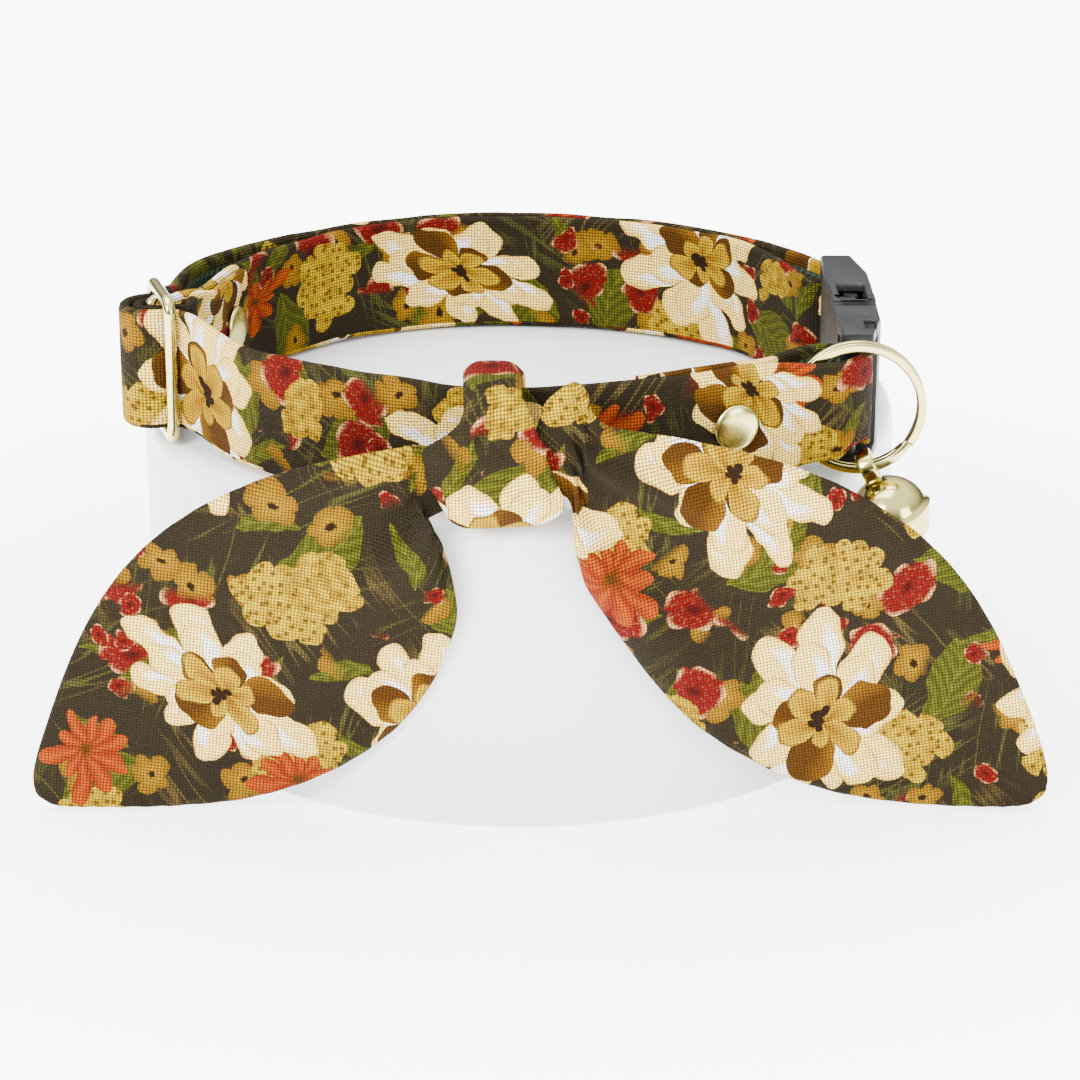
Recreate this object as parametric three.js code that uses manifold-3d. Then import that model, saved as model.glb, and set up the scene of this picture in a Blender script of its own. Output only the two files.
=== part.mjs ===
// Bow tie pet collar on a plain round stand.
// Millimetres, +Z up, +X to the right and +Y away from the viewer.
// The origin is the centre of the stand's base.

import * as THREE from 'three';
import { mergeVertices } from 'three/addons/utils/BufferGeometryUtils.js';
import Module from 'manifold-3d';

const wasm = await Module();
wasm.setup();

// Stand
const standRadius = 50;
const standHeight = 41;
const standRimRound = 2.5;
const standFootRound = 0.8;
const seatGap = 0.3;

// Strap and the plan outline of the worn loop
const strapWidth = 16;
const strapThickness = 1.4;
const layerGap = 0.3;
const strapEdgeRound = 0.4;
const loopSideInset = 4;
const loopFrontInset = 3;
const collarHalfWidth = standRadius - loopSideInset;
const collarHalfDepth = 38;
const collarCentreX = -2.5;
const collarSetForward = standRadius - collarHalfDepth - loopFrontInset;

// Slide
const slideWire = 1.6;
const slideRailClearance = 0.3;
const slideTurn = 17.5;
const slideCornerRound = 1.5;
const slideMiddleBow = 1.25;

// Buckle
const buckleThickness = 5.6;
const buckleHeight = 17.6;
const buckleWall = 1.5;
const buckleBar = 2.4;
const buckleSlot = 2.3;
const buckleJoin = 0.35;
const buckleReach = 31.3;
const plugBodyLength = 11.5;
const socketShellWall = 1.1;
const prongThickness = 1.8;
const prongWidth = 3.1;
const prongLength = 9;
const windowLength = 5.6;

// Split ring
const ringOuterRadius = 8.6;
const ringWireRadial = 1.15;
const ringWireAxial = 0.9;
const ringTurnGap = 0.12;

// Bell
const bellRadius = 5.1;
const bellWall = 0.6;
const bellSeam = 0.35;
const bellSlotWidth = 1.1;
const bellHoleRadius = 1.05;
const bellBallRadius = 1.5;
const bellLean = 25;
const tabWidth = 2;
const tabWall = 0.65;
const tabClearance = 0.55;
const tabSag = 0.12;
const tabAngle = -79;

// Rivets
const capRadius = 3;
const capRise = 0.9;
const shankRadius = 0.9;
const rivetClearance = 0.35;

// Bow
const bowHalfSpan = 64;
const bowDrop = 54;
const bowCentreX = 2.6;
const bowFloorGap = 0.5;
const tailThickness = 1.5;
const tailBackLean = 8.2;
const tailStandGap = 2.5;
const knotWall = 1.6;
const knotFrontWall = 2.4;
const knotTopWall = 2.8;
const knotSlack = 1;
const knotTopSlack = 0.6;
const knotHalfWidth = 7.6;
const knotTilt = 0.2;
const knotLowSqueeze = 2.8;
const knotTopSqueeze = 0.2;

const strapBottom = standHeight + seatGap;
const strapTop = strapBottom + strapWidth;
const layerStep = strapThickness + layerGap;
const degree = Math.PI / 180;

// A closed solid from rings of points that have equal counts, with both ends capped,
// or joined end to start when the run closes on itself.
function skinRings(rings, closed = false) {
  const count = rings[0].length;
  const positions = rings.flat().flatMap((point) => [point.x, point.y, point.z]);
  const faces = [];
  const last = closed ? rings.length : rings.length - 1;
  for (let i = 0; i < last; i += 1) {
    const here = i * count;
    const next = ((i + 1) % rings.length) * count;
    for (let j = 0; j < count; j += 1) {
      const k = (j + 1) % count;
      faces.push(here + j, next + j, next + k, here + j, next + k, here + k);
    }
  }
  if (!closed) {
    const end = (rings.length - 1) * count;
    for (let j = 1; j < count - 1; j += 1) {
      faces.push(0, j, j + 1);
      faces.push(end, end + j + 1, end + j);
    }
  }
  return orientedGeometry(positions, faces);
}

// Faces are turned round when the enclosed volume comes out negative.
function orientedGeometry(positions, faces) {
  let volume = 0;
  const corner = (index) => new THREE.Vector3().fromArray(positions, index * 3);
  for (let i = 0; i < faces.length; i += 3) {
    const cross = corner(faces[i + 1]).cross(corner(faces[i + 2]));
    volume += corner(faces[i]).dot(cross);
  }
  const outward = volume < 0 ? faces.slice().reverse() : faces;
  const geometry = new THREE.BufferGeometry();
  geometry.setAttribute('position', new THREE.Float32BufferAttribute(positions, 3));
  geometry.setIndex(outward);
  return geometry;
}

function toSolid(geometry) {
  const plain = geometry.clone();
  plain.deleteAttribute('normal');
  plain.deleteAttribute('uv');
  const merged = mergeVertices(plain, 1e-4);
  return new wasm.Manifold(new wasm.Mesh({
    numProp: 3,
    vertProperties: new Float32Array(merged.attributes.position.array),
    triVerts: new Uint32Array(merged.index.array),
  }));
}

function fromSolid(solid) {
  const mesh = solid.getMesh();
  const geometry = new THREE.BufferGeometry();
  geometry.setAttribute('position', new THREE.Float32BufferAttribute(mesh.vertProperties, 3));
  geometry.setIndex(new THREE.Uint32BufferAttribute(mesh.triVerts, 1));
  return geometry;
}

function joinAll(parts) {
  return parts.map(toSolid).reduce((whole, part) => whole.add(part));
}

function cutAll(solid, tools) {
  return tools.map(toSolid).reduce((whole, tool) => whole.subtract(tool), solid);
}

function boxBetween(low, high) {
  const geometry = new THREE.BoxGeometry(high[0] - low[0], high[1] - low[1], high[2] - low[2]);
  return geometry.translate((low[0] + high[0]) / 2, (low[1] + high[1]) / 2, (low[2] + high[2]) / 2);
}

// A cylinder from one point to another.
function rodBetween(start, end, radius, sides) {
  const along = end.clone().sub(start);
  const rod = new THREE.CylinderGeometry(radius, radius, along.length(), sides);
  const turn = new THREE.Quaternion().setFromUnitVectors(
    new THREE.Vector3(0, 1, 0),
    along.clone().normalize(),
  );
  const middle = start.clone().add(end).multiplyScalar(0.5);
  return rod.applyQuaternion(turn).translate(middle.x, middle.y, middle.z);
}

function material(name, color, roughness, metalness) {
  return new THREE.MeshStandardMaterial({ name, color, roughness, metalness });
}

const printCloth = material('printed_cloth', 0x4a3e30, 0.85, 0);
const paleGold = material('pale_gold', 0xd9cd9a, 0.22, 1);
const blackPlastic = material('black_plastic', 0x1d1e20, 0.45, 0);
const palePlastic = material('pale_plastic', 0xececec, 0.3, 0);

const collar = new THREE.Group();

function addPiece(name, geometry, finish) {
  geometry.computeVertexNormals();
  const mesh = new THREE.Mesh(geometry, finish.clone());
  mesh.name = name;
  collar.add(mesh);
  return mesh;
}

// A point of the plan, from shares of the collar's half width and half depth.
function planPoint(across, away) {
  return new THREE.Vector2(
    collarCentreX + collarHalfWidth * across,
    -collarSetForward + collarHalfDepth * away,
  );
}

function planArc(centre, radius, fromDegrees, toDegrees, steps) {
  const points = [];
  for (let i = 0; i <= steps; i += 1) {
    const angle = (fromDegrees + (toDegrees - fromDegrees) * (i / steps)) * degree;
    points.push(new THREE.Vector2(
      centre.x + radius * Math.cos(angle),
      centre.y + radius * Math.sin(angle),
    ));
  }
  return points;
}

const heading = (from, to) => Math.atan2(to.y - from.y, to.x - from.x) / degree;

// Slide bars in plan. The spacing leaves room for the strap over the folded end
// on the middle bar and past the outer bars.
const passRadius = slideWire / 2 + layerGap + strapThickness / 2;
const overRadius = passRadius + layerStep;
const barSpacing = passRadius + overRadius + 0.05;
const slideHalfSpan = Math.sqrt(barSpacing ** 2 - slideMiddleBow ** 2);
const slideAlong = new THREE.Vector2(-Math.sin(slideTurn * degree), Math.cos(slideTurn * degree));
const slideOut = new THREE.Vector2(-slideAlong.y, slideAlong.x);
const slideCentre = planPoint(-0.94, -0.227);
const frontBar = slideCentre.clone().addScaledVector(slideAlong, -slideHalfSpan);
const rearBar = slideCentre.clone().addScaledVector(slideAlong, slideHalfSpan);
const middleBar = slideCentre.clone().addScaledVector(slideOut, slideMiddleBow);
const slideLow = strapBottom;
const slideHigh = slideLow + strapWidth + 2 * (slideWire + slideRailClearance);

// Buckle places. The buckle lies along Y, with a bar at each end.
const buckleX = planPoint(0.993, 0).x;
const buckleFront = planPoint(0, -0.559).y;
const buckleLow = strapBottom;
const buckleHigh = buckleLow + buckleHeight;
const buckleMiddle = (buckleLow + buckleHigh) / 2;
const plugBar = new THREE.Vector2(buckleX - 1.6, buckleFront + buckleBar / 2);
const socketBar = new THREE.Vector2(buckleX - 1.8, buckleFront + buckleReach + buckleBar / 2);
const barWrap = buckleBar / 2 + layerGap + strapThickness / 2 + 0.1;

// The strap's plan, in shares of the collar's half width and half depth.
const frontRunRows = [
  { across: 0.763, away: -0.708 },
  { across: 0.72, away: -0.728 },
  { across: 0.68, away: -0.745 },
  { across: 0.548, away: -0.816 },
  { across: 0.385, away: -0.892 },
  { across: 0.246, away: -0.934 },
  { across: 0.054, away: -0.963 },
  { across: -0.124, away: -0.93 },
  { across: -0.257, away: -0.866 },
  { across: -0.391, away: -0.795 },
  { across: -0.528, away: -0.708 },
  { across: -0.665, away: -0.59 },
  { across: -0.795, away: -0.41 },
];
const backRunRows = [
  { across: -0.933, away: 0.026 },
  { across: -0.93, away: 0.19 },
  { across: -0.905, away: 0.325 },
  { across: -0.862, away: 0.435 },
  { across: -0.802, away: 0.525 },
  { across: -0.71, away: 0.632 },
  { across: -0.593, away: 0.747 },
  { across: -0.452, away: 0.85 },
  { across: -0.304, away: 0.928 },
  { across: -0.157, away: 0.976 },
  { across: -0.007, away: 0.995 },
  { across: 0.143, away: 0.983 },
  { across: 0.293, away: 0.95 },
  { across: 0.441, away: 0.892 },
  { across: 0.589, away: 0.797 },
  { across: 0.73, away: 0.675 },
];
const innerRunRows = [
  { across: -0.452, away: 0.79 },
  { across: -0.598, away: 0.645 },
  { across: -0.728, away: 0.45 },
  { across: -0.783, away: 0.329 },
  { across: -0.826, away: 0.158 },
  { across: -0.857, away: 0 },
  { across: -0.887, away: -0.115 },
];
const fromRows = (rows) => rows.map((row) => planPoint(row.across, row.away));

// Near the buckle the strap's places are offsets from the bar that it turns round.
const plugFoldOffsets = [
  { right: -7.7, away: -1 },
  { right: -5.4, away: 1 },
  { right: -3, away: 2 },
];
const plugTurnOffsets = [
  { right: 1.3, away: -2.5 },
  { right: -0.4, away: -4.6 },
];
const plugRunOffsets = [
  { right: -3.3, away: -5.8 },
];
const socketRunOffsets = [
  { right: -4.2, away: 9 },
  { right: -0.3, away: 4.4 },
];
const socketTurnOffsets = [
  { right: -2.9, away: -1.8 },
  { right: -4.6, away: 1.7 },
];
const fromBar = (bar, offsets) => offsets.map((offset) => new THREE.Vector2(
  bar.x + offset.right,
  bar.y + offset.away,
));

// A second layer: the same run, moved sideways by a distance. A positive distance moves it
// to the right of the way the run goes.
function besideRun(points, distance) {
  return points.map((point, i) => {
    const before = points[Math.max(0, i - 1)];
    const after = points[Math.min(points.length - 1, i + 1)];
    const along = after.clone().sub(before).normalize();
    return new THREE.Vector2(point.x + along.y * distance, point.y - along.x * distance);
  });
}
const frontRun = [...fromBar(plugBar, plugRunOffsets), ...fromRows(frontRunRows)];
const backRun = fromRows(backRunRows);
const innerRun = fromRows(innerRunRows);
const frontFold = besideRun(frontRun, layerStep).slice(2, 6).reverse();
const backInner = besideRun(backRun, layerStep).slice(8, 16).reverse();
const foldedEnd = besideRun(innerRun, -layerStep).slice(3).reverse();

const frontToMiddle = heading(frontBar, middleBar);
const middleToRear = heading(middleBar, rearBar);
const strapPlan = [
  ...frontFold,
  ...fromBar(plugBar, plugFoldOffsets),
  ...planArc(plugBar, barWrap, 100, -5, 7),
  ...fromBar(plugBar, plugTurnOffsets),
  ...frontRun,
  ...planArc(frontBar, passRadius, 40, frontToMiddle - 12, 5),
  ...planArc(middleBar, overRadius, frontToMiddle + 168, middleToRear + 12, 16),
  ...planArc(rearBar, passRadius, middleToRear + 192, 370, 6),
  ...backRun,
  ...fromBar(socketBar, socketRunOffsets),
  ...planArc(socketBar, barWrap, 25, -100, 7),
  ...fromBar(socketBar, socketTurnOffsets),
  ...backInner,
  ...innerRun,
  ...planArc(rearBar, passRadius + layerStep + 0.1, -12, -38, 2),
  ...planArc(middleBar, passRadius, 72, 288, 12),
  ...planArc(frontBar, passRadius + layerStep + 0.15, 78, 62, 1),
  ...foldedEnd,
];

// Split ring and bell tab places.
const ringCentre = new THREE.Vector3(buckleX - 0.7, buckleFront - 2.9, buckleMiddle + 0.1);
const ringWireRadius = ringOuterRadius - ringWireRadial / 2;
const ringPitch = ringWireAxial + ringTurnGap;
const ringAtTab = new THREE.Vector3(
  ringCentre.x + ringWireRadius * Math.cos(tabAngle * degree),
  ringCentre.y,
  ringCentre.z + ringWireRadius * Math.sin(tabAngle * degree),
);

// Places that squeeze or lift the strap: it keeps the given edges within the reach,
// and goes back to its full width over the fade.
const knotPlace = planPoint(-0.006, -0.955);
const barLow = buckleLow + buckleWall + 0.9;
const barHigh = buckleHigh - buckleWall - 0.8;
const strapHolds = [
  { place: plugBar, reach: 6.5, fade: 5, low: barLow, high: barHigh },
  { place: socketBar, reach: 3.5, fade: 4, low: barLow, high: barHigh },
  {
    place: new THREE.Vector2(ringAtTab.x, ringAtTab.y),
    reach: 2.2,
    fade: 2.5,
    low: ringAtTab.z + ringWireRadial / 2 + 2.1,
    high: strapTop,
  },
  {
    place: middleBar,
    reach: 6,
    fade: 5,
    low: slideLow + slideWire + slideRailClearance,
    high: slideHigh - slideWire - slideRailClearance,
  },
  {
    place: knotPlace,
    reach: 5,
    fade: 4.5,
    low: strapBottom + knotLowSqueeze,
    high: strapTop - knotTopSqueeze,
  },
];

function strapEdges(point) {
  let raise = 0;
  let sink = 0;
  let lift = 0;
  strapHolds.forEach((hold) => {
    const away = Math.max(0, point.distanceTo(hold.place) - hold.reach) / hold.fade;
    const near = Math.exp(-(away ** 2));
    raise = Math.max(raise, (hold.low - strapBottom) * near);
    const shift = (hold.high - strapTop) * near;
    sink = Math.min(sink, shift);
    lift = Math.max(lift, shift);
  });
  return { low: strapBottom + raise, high: strapTop + sink + lift };
}

// Plan points and directions along a smooth curve, closer together where it turns.
function sampleStrap(points, step) {
  const curve = new THREE.CatmullRomCurve3(
    points.map((point) => new THREE.Vector3(point.x, point.y, 0)),
    false,
    'centripetal',
  );
  const samples = [];
  for (let i = 0; i < points.length - 1; i += 1) {
    const pieces = Math.max(1, Math.ceil(points[i].distanceTo(points[i + 1]) / step));
    for (let j = 0; j < pieces; j += 1) {
      samples.push((i + j / pieces) / (points.length - 1));
    }
  }
  samples.push(1);
  return samples.map((share) => ({
    point: new THREE.Vector2(curve.getPoint(share).x, curve.getPoint(share).y),
    side: new THREE.Vector2(-curve.getTangent(share).y, curve.getTangent(share).x).normalize(),
  }));
}

// The section is a flat six-sided strip with worn edges.
function strapSection(sample) {
  const { low, high } = strapEdges(sample.point);
  const half = strapThickness / 2;
  const corners = [
    { out: half, z: low + strapEdgeRound },
    { out: half, z: high - strapEdgeRound },
    { out: 0, z: high },
    { out: -half, z: high - strapEdgeRound },
    { out: -half, z: low + strapEdgeRound },
    { out: 0, z: low },
  ];
  return corners.map((corner) => new THREE.Vector3(
    sample.point.x + sample.side.x * corner.out,
    sample.point.y + sample.side.y * corner.out,
    corner.z,
  ));
}

// A double-cap rivet: a shank with a domed cap on each side of the layers it closes.
function rivet(place, outward, halfLayers) {
  const inner = halfLayers + rivetClearance;
  const profile = [
    new THREE.Vector2(0, -inner - capRise),
    new THREE.Vector2(capRadius * 0.55, -inner - capRise * 0.85),
    new THREE.Vector2(capRadius * 0.9, -inner - capRise * 0.45),
    new THREE.Vector2(capRadius, -inner),
    new THREE.Vector2(shankRadius, -inner),
    new THREE.Vector2(shankRadius, inner),
    new THREE.Vector2(capRadius, inner),
    new THREE.Vector2(capRadius * 0.9, inner + capRise * 0.45),
    new THREE.Vector2(capRadius * 0.55, inner + capRise * 0.85),
    new THREE.Vector2(0, inner + capRise),
  ];
  const turn = new THREE.Quaternion().setFromUnitVectors(new THREE.Vector3(0, 1, 0), outward);
  return new THREE.LatheGeometry(profile, 20)
    .applyQuaternion(turn)
    .translate(place.x, place.y, place.z);
}

const strapMiddle = (strapBottom + strapTop) / 2;
const layersHalf = strapThickness + layerGap / 2;

// A rivet goes square through the strap between two points of a run, and half a layer's step
// to the side of it, in the middle of the two layers.
const squareTo = (from, to) => new THREE.Vector3(from.y - to.y, to.x - from.x, 0).normalize();
function rivetPlace(from, to, share, side, height) {
  const plan = from.clone().lerp(to, share);
  return new THREE.Vector3(plan.x, plan.y, height)
    .addScaledVector(squareTo(from, to), (side * layerStep) / 2);
}
const strapRivetOut = squareTo(frontRun[3], frontRun[4]);
const strapRivetPlace = rivetPlace(frontRun[3], frontRun[4], 0.36, -1, strapMiddle + 0.4);
const slideRivetOut = squareTo(innerRun[3], innerRun[4]);
const slideRivetPlace = rivetPlace(innerRun[3], innerRun[4], 0.8, 1, strapMiddle + 1.2);

function rivetHole(place, outward) {
  const reach = outward.clone().multiplyScalar(2 * strapThickness);
  return rodBetween(
    place.clone().sub(reach),
    place.clone().add(reach),
    shankRadius + rivetClearance,
    12,
  );
}

// Stand: a plain drum with a rounded rim.
const standProfile = [new THREE.Vector2(0, 0), new THREE.Vector2(standRadius - standFootRound, 0)];
standProfile.push(new THREE.Vector2(standRadius, standFootRound));
for (let i = 0; i <= 5; i += 1) {
  const angle = (i / 5) * 90 * degree;
  standProfile.push(new THREE.Vector2(
    standRadius - standRimRound + standRimRound * Math.cos(angle),
    standHeight - standRimRound + standRimRound * Math.sin(angle),
  ));
}
standProfile.push(new THREE.Vector2(0, standHeight));
const standGeometry = new THREE.LatheGeometry(standProfile, 72).rotateX(90 * degree);
addPiece('stand', standGeometry, palePlastic);

// Strap
const strapRings = sampleStrap(strapPlan, 2.8).map(strapSection);
const strapSolid = cutAll(toSolid(skinRings(strapRings)), [
  rivetHole(strapRivetPlace, strapRivetOut),
  rivetHole(slideRivetPlace, slideRivetOut),
]);
addPiece('strap', fromSolid(strapSolid), printCloth);

addPiece('strap_rivet', rivet(strapRivetPlace, strapRivetOut, layersHalf), paleGold);
addPiece('slide_rivet', rivet(slideRivetPlace, slideRivetOut, layersHalf), paleGold);

// A wire of round section along a path of points.
function wire(points, radius, sides, closed) {
  const rings = points.map((point, i) => {
    const before = closed ? points[(i + points.length - 1) % points.length] : points[Math.max(0, i - 1)];
    const after = closed ? points[(i + 1) % points.length] : points[Math.min(points.length - 1, i + 1)];
    const along = after.clone().sub(before).normalize();
    const across = new THREE.Vector3().crossVectors(along, slideFace).normalize();
    const ring = [];
    for (let j = 0; j < sides; j += 1) {
      const angle = (j / sides) * 2 * Math.PI;
      ring.push(point.clone()
        .addScaledVector(across, radius * Math.cos(angle))
        .addScaledVector(slideFace, radius * Math.sin(angle)));
    }
    return ring;
  });
  return skinRings(rings, closed);
}

// Slide: a rounded wire frame that stands upright, with a middle bar bowed outwards.
const slideFace = new THREE.Vector3(slideOut.x, slideOut.y, 0);
const slideMiddleZ = (slideLow + slideHigh) / 2;
const slidePoint = (along, z) => new THREE.Vector3(
  slideCentre.x + slideAlong.x * along,
  slideCentre.y + slideAlong.y * along,
  z,
);
const slideHalfHeight = (slideHigh - slideLow - slideWire) / 2;
const framePoints = [];
const frameCorners = [
  { along: 1, up: 1, start: 0 },
  { along: -1, up: 1, start: 90 },
  { along: -1, up: -1, start: 180 },
  { along: 1, up: -1, start: 270 },
];
frameCorners.forEach((corner) => {
  for (let i = 0; i <= 4; i += 1) {
    const angle = (corner.start + (i / 4) * 90) * degree;
    framePoints.push(slidePoint(
      corner.along * (slideHalfSpan - slideCornerRound) + slideCornerRound * Math.cos(angle),
      slideMiddleZ + corner.up * (slideHalfHeight - slideCornerRound) + slideCornerRound * Math.sin(angle),
    ));
  }
});
const slideFrame = wire(framePoints, slideWire / 2, 10, true);
const middlePoints = [];
for (let i = 0; i <= 12; i += 1) {
  const share = -1 + (2 * i) / 12;
  const bow = slideMiddleBow * Math.min(1, (1 - Math.abs(share)) * 7);
  middlePoints.push(slidePoint(0, slideMiddleZ + slideHalfHeight * share).addScaledVector(slideFace, bow));
}
const slideMiddle = wire(middlePoints, slideWire / 2 - 0.02, 10, false);
addPiece('slide', fromSolid(joinAll([slideFrame, slideMiddle])), paleGold);

// Buckle outline in plan: the outer side curves in towards the rear end.
const outerX = buckleX + buckleThickness / 2;
const innerX = buckleX - buckleThickness / 2;

// An upright plate of the buckle: a plan outline extruded over a height, with rounded long corners.
function buckleBlock(outline, low, high, round) {
  const shape = new THREE.Shape(outline.map((corner) => new THREE.Vector2(corner[0], corner[1])));
  const block = new THREE.ExtrudeGeometry(shape, {
    depth: high - low - 2 * round,
    bevelEnabled: true,
    bevelThickness: round,
    bevelSize: round,
    bevelOffset: -round,
    bevelSegments: 2,
  });
  return block.translate(0, 0, low + round);
}

// Plug: the front half, with its bar, a slot for the strap, a body and two prongs.
const plugBodyFront = buckleFront + buckleBar + buckleSlot;
const plugBodyRear = plugBodyFront + plugBodyLength;
const plugOutline = [
  [innerX + 0.4, buckleFront],
  [outerX - 1.5, buckleFront],
  [outerX - 0.5, plugBodyFront],
  [outerX, plugBodyFront + 2],
  [outerX, plugBodyRear],
  [innerX, plugBodyRear],
  [innerX, plugBodyFront],
];
const plugSolid = toSolid(buckleBlock(plugOutline, buckleLow, buckleHigh, 0.7));
const plugSlotAndBar = boxBetween(
  [innerX - 1, buckleFront - 1, buckleLow + buckleWall],
  [outerX + 1, plugBodyFront, buckleHigh - buckleWall],
);
const uprightBar = (place) => rodBetween(
  new THREE.Vector3(place.x, place.y, buckleLow + buckleWall / 2),
  new THREE.Vector3(place.x, place.y, buckleHigh - buckleWall / 2),
  buckleBar / 2,
  16,
);
const prongFace = prongThickness / 2;
const prongs = [-1, 1].map((side) => {
  const edge = buckleMiddle + side * (buckleHeight / 2 - socketShellWall - 0.3);
  const inner = edge - side * prongWidth;
  return boxBetween(
    [buckleX - prongFace, plugBodyRear - 0.5, Math.min(edge, inner)],
    [buckleX + prongFace, plugBodyRear + prongLength, Math.max(edge, inner)],
  );
});
const tongue = boxBetween(
  [buckleX - prongFace, plugBodyRear - 0.5, buckleMiddle - 1.2],
  [buckleX + prongFace, plugBodyRear + prongLength - 1, buckleMiddle + 1.2],
);
const plugCut = cutAll(plugSolid, [plugSlotAndBar]);
const plugWhole = plugCut.add(joinAll([uprightBar(plugBar), ...prongs, tongue]));
addPiece('buckle_plug', fromSolid(plugWhole), blackPlastic);

// Socket: the rear half, a flat shell that takes the prongs, with side windows, a slot and a bar.
const socketFront = plugBodyRear + buckleJoin;
const socketSlotRear = buckleFront + buckleReach;
const socketBodyRear = socketSlotRear - buckleSlot;
const socketRear = socketSlotRear + buckleBar;
const socketOutline = [
  [innerX, socketFront],
  [outerX, socketFront],
  [outerX, socketFront + 3],
  [outerX - 0.5, socketBodyRear - 3],
  [outerX - 1.8, socketRear],
  [innerX - 0.2, socketRear],
  [innerX - 0.4, socketBodyRear - 3],
];
const socketCavityRear = plugBodyRear + prongLength + 0.6;
const socketSolid = toSolid(buckleBlock(socketOutline, buckleLow, buckleHigh, 0.7));
const socketCuts = [
  boxBetween(
    [innerX + socketShellWall, socketFront - 1, buckleLow + socketShellWall],
    [outerX - socketShellWall, socketCavityRear, buckleHigh - socketShellWall],
  ),
  boxBetween(
    [innerX + socketShellWall, socketFront + 1.4, buckleLow - 1],
    [outerX - socketShellWall, socketFront + 1.4 + windowLength, buckleHigh + 1],
  ),
  boxBetween(
    [innerX - 2, socketBodyRear, buckleLow + buckleWall],
    [outerX + 1, socketRear + 1, buckleHigh - buckleWall],
  ),
];
const socketWhole = cutAll(socketSolid, socketCuts).add(toSolid(uprightBar(socketBar)));
addPiece('buckle_socket', fromSolid(socketWhole), blackPlastic);

// Split ring: two flat turns side by side, joined by a short jog.
const ringStart = -35;
const ringRings = [];
const ringSteps = 88;
for (let i = 0; i <= ringSteps; i += 1) {
  const turn = (i / ringSteps) * 714;
  const angle = (ringStart + turn) * degree;
  const jog = THREE.MathUtils.smoothstep(turn, 336, 378);
  const depth = ringCentre.y + (jog - 0.5) * ringPitch;
  const radial = new THREE.Vector3(Math.cos(angle), 0, Math.sin(angle));
  const corners = [
    { out: -0.5, back: -0.25 },
    { out: -0.2, back: -0.5 },
    { out: 0.3, back: -0.5 },
    { out: 0.5, back: -0.1 },
    { out: 0.3, back: 0.5 },
    { out: -0.35, back: 0.5 },
  ];
  ringRings.push(corners.map((corner) => new THREE.Vector3(ringCentre.x, depth, ringCentre.z)
    .addScaledVector(radial, ringWireRadius + corner.out * ringWireRadial)
    .add(new THREE.Vector3(0, corner.back * ringWireAxial, 0))));
}
addPiece('split_ring', skinRings(ringRings), paleGold);

// Bell: a round shell in two halves with a seam, a crossed slot below and a tab loop on the ring.
const tabInner = Math.hypot(ringWireRadial / 2, ringPitch / 2 + ringWireAxial / 2) + tabClearance;
const bellDown = new THREE.Vector3(Math.sin(bellLean * degree), 0, -Math.cos(bellLean * degree));
const tabCentre = ringAtTab.clone().addScaledVector(bellDown, tabSag);
const bellCentre = tabCentre.clone().addScaledVector(bellDown, bellRadius + tabInner + tabWall * 0.5);

const bellProfile = [];
const bellSteps = 9;
for (let i = 0; i <= 2 * bellSteps; i += 1) {
  const angle = (-90 + (i / bellSteps) * 90) * degree;
  const seam = i === bellSteps ? bellSeam : 0;
  bellProfile.push(new THREE.Vector2((bellRadius + seam) * Math.cos(angle), bellRadius * Math.sin(angle)));
}
bellProfile[0].x = 0;
bellProfile[2 * bellSteps].x = 0;
const bellInside = new THREE.SphereGeometry(bellRadius - bellWall, 24, 14).rotateX(90 * degree);
const bellOuter = new THREE.LatheGeometry(bellProfile, 28).rotateX(90 * degree);
const slotLength = bellRadius * 1.5;
const bellCuts = [bellInside];
[0, 90].forEach((angle) => {
  const slot = boxBetween(
    [-slotLength / 2, -bellSlotWidth / 2, -bellRadius - 1],
    [slotLength / 2, bellSlotWidth / 2, -bellRadius * 0.4],
  );
  bellCuts.push(slot.rotateZ(angle * degree));
  [-1, 1].forEach((side) => {
    const hole = new THREE.CylinderGeometry(bellHoleRadius, bellHoleRadius, bellRadius, 12)
      .rotateX(90 * degree)
      .translate((side * slotLength) / 2, 0, -bellRadius * 0.75);
    bellCuts.push(hole.rotateZ(angle * degree));
  });
});
const bellShell = cutAll(toSolid(bellOuter), bellCuts);

// The tab is a short hoop whose axis follows the ring's wire.
const tabShape = new THREE.Shape();
tabShape.absarc(0, 0, tabInner + tabWall, 0, 2 * Math.PI, false);
const tabHole = new THREE.Path();
tabHole.absarc(0, 0, tabInner, 0, 2 * Math.PI, true);
tabShape.holes.push(tabHole);
const tabHoop = new THREE.ExtrudeGeometry(tabShape, {
  depth: tabWidth,
  bevelEnabled: false,
  curveSegments: 9,
});
tabHoop.translate(0, 0, -tabWidth / 2);
tabHoop.rotateY(90 * degree);
tabHoop.translate(0, 0, bellRadius + tabInner + tabWall * 0.5);
const bellLocal = fromSolid(bellShell.add(toSolid(tabHoop)));
const bellMesh = addPiece('bell', bellLocal, paleGold);
bellMesh.position.copy(bellCentre);
bellMesh.rotation.y = -bellLean * degree;

// The ball lies at the lowest place inside the shell.
const ballDrop = bellRadius - bellWall - bellBallRadius - 0.3;
const ballMesh = addPiece('bell_ball', new THREE.IcosahedronGeometry(bellBallRadius, 2), paleGold);
ballMesh.position.copy(bellCentre.clone().add(new THREE.Vector3(0, 0, -ballDrop)));

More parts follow.
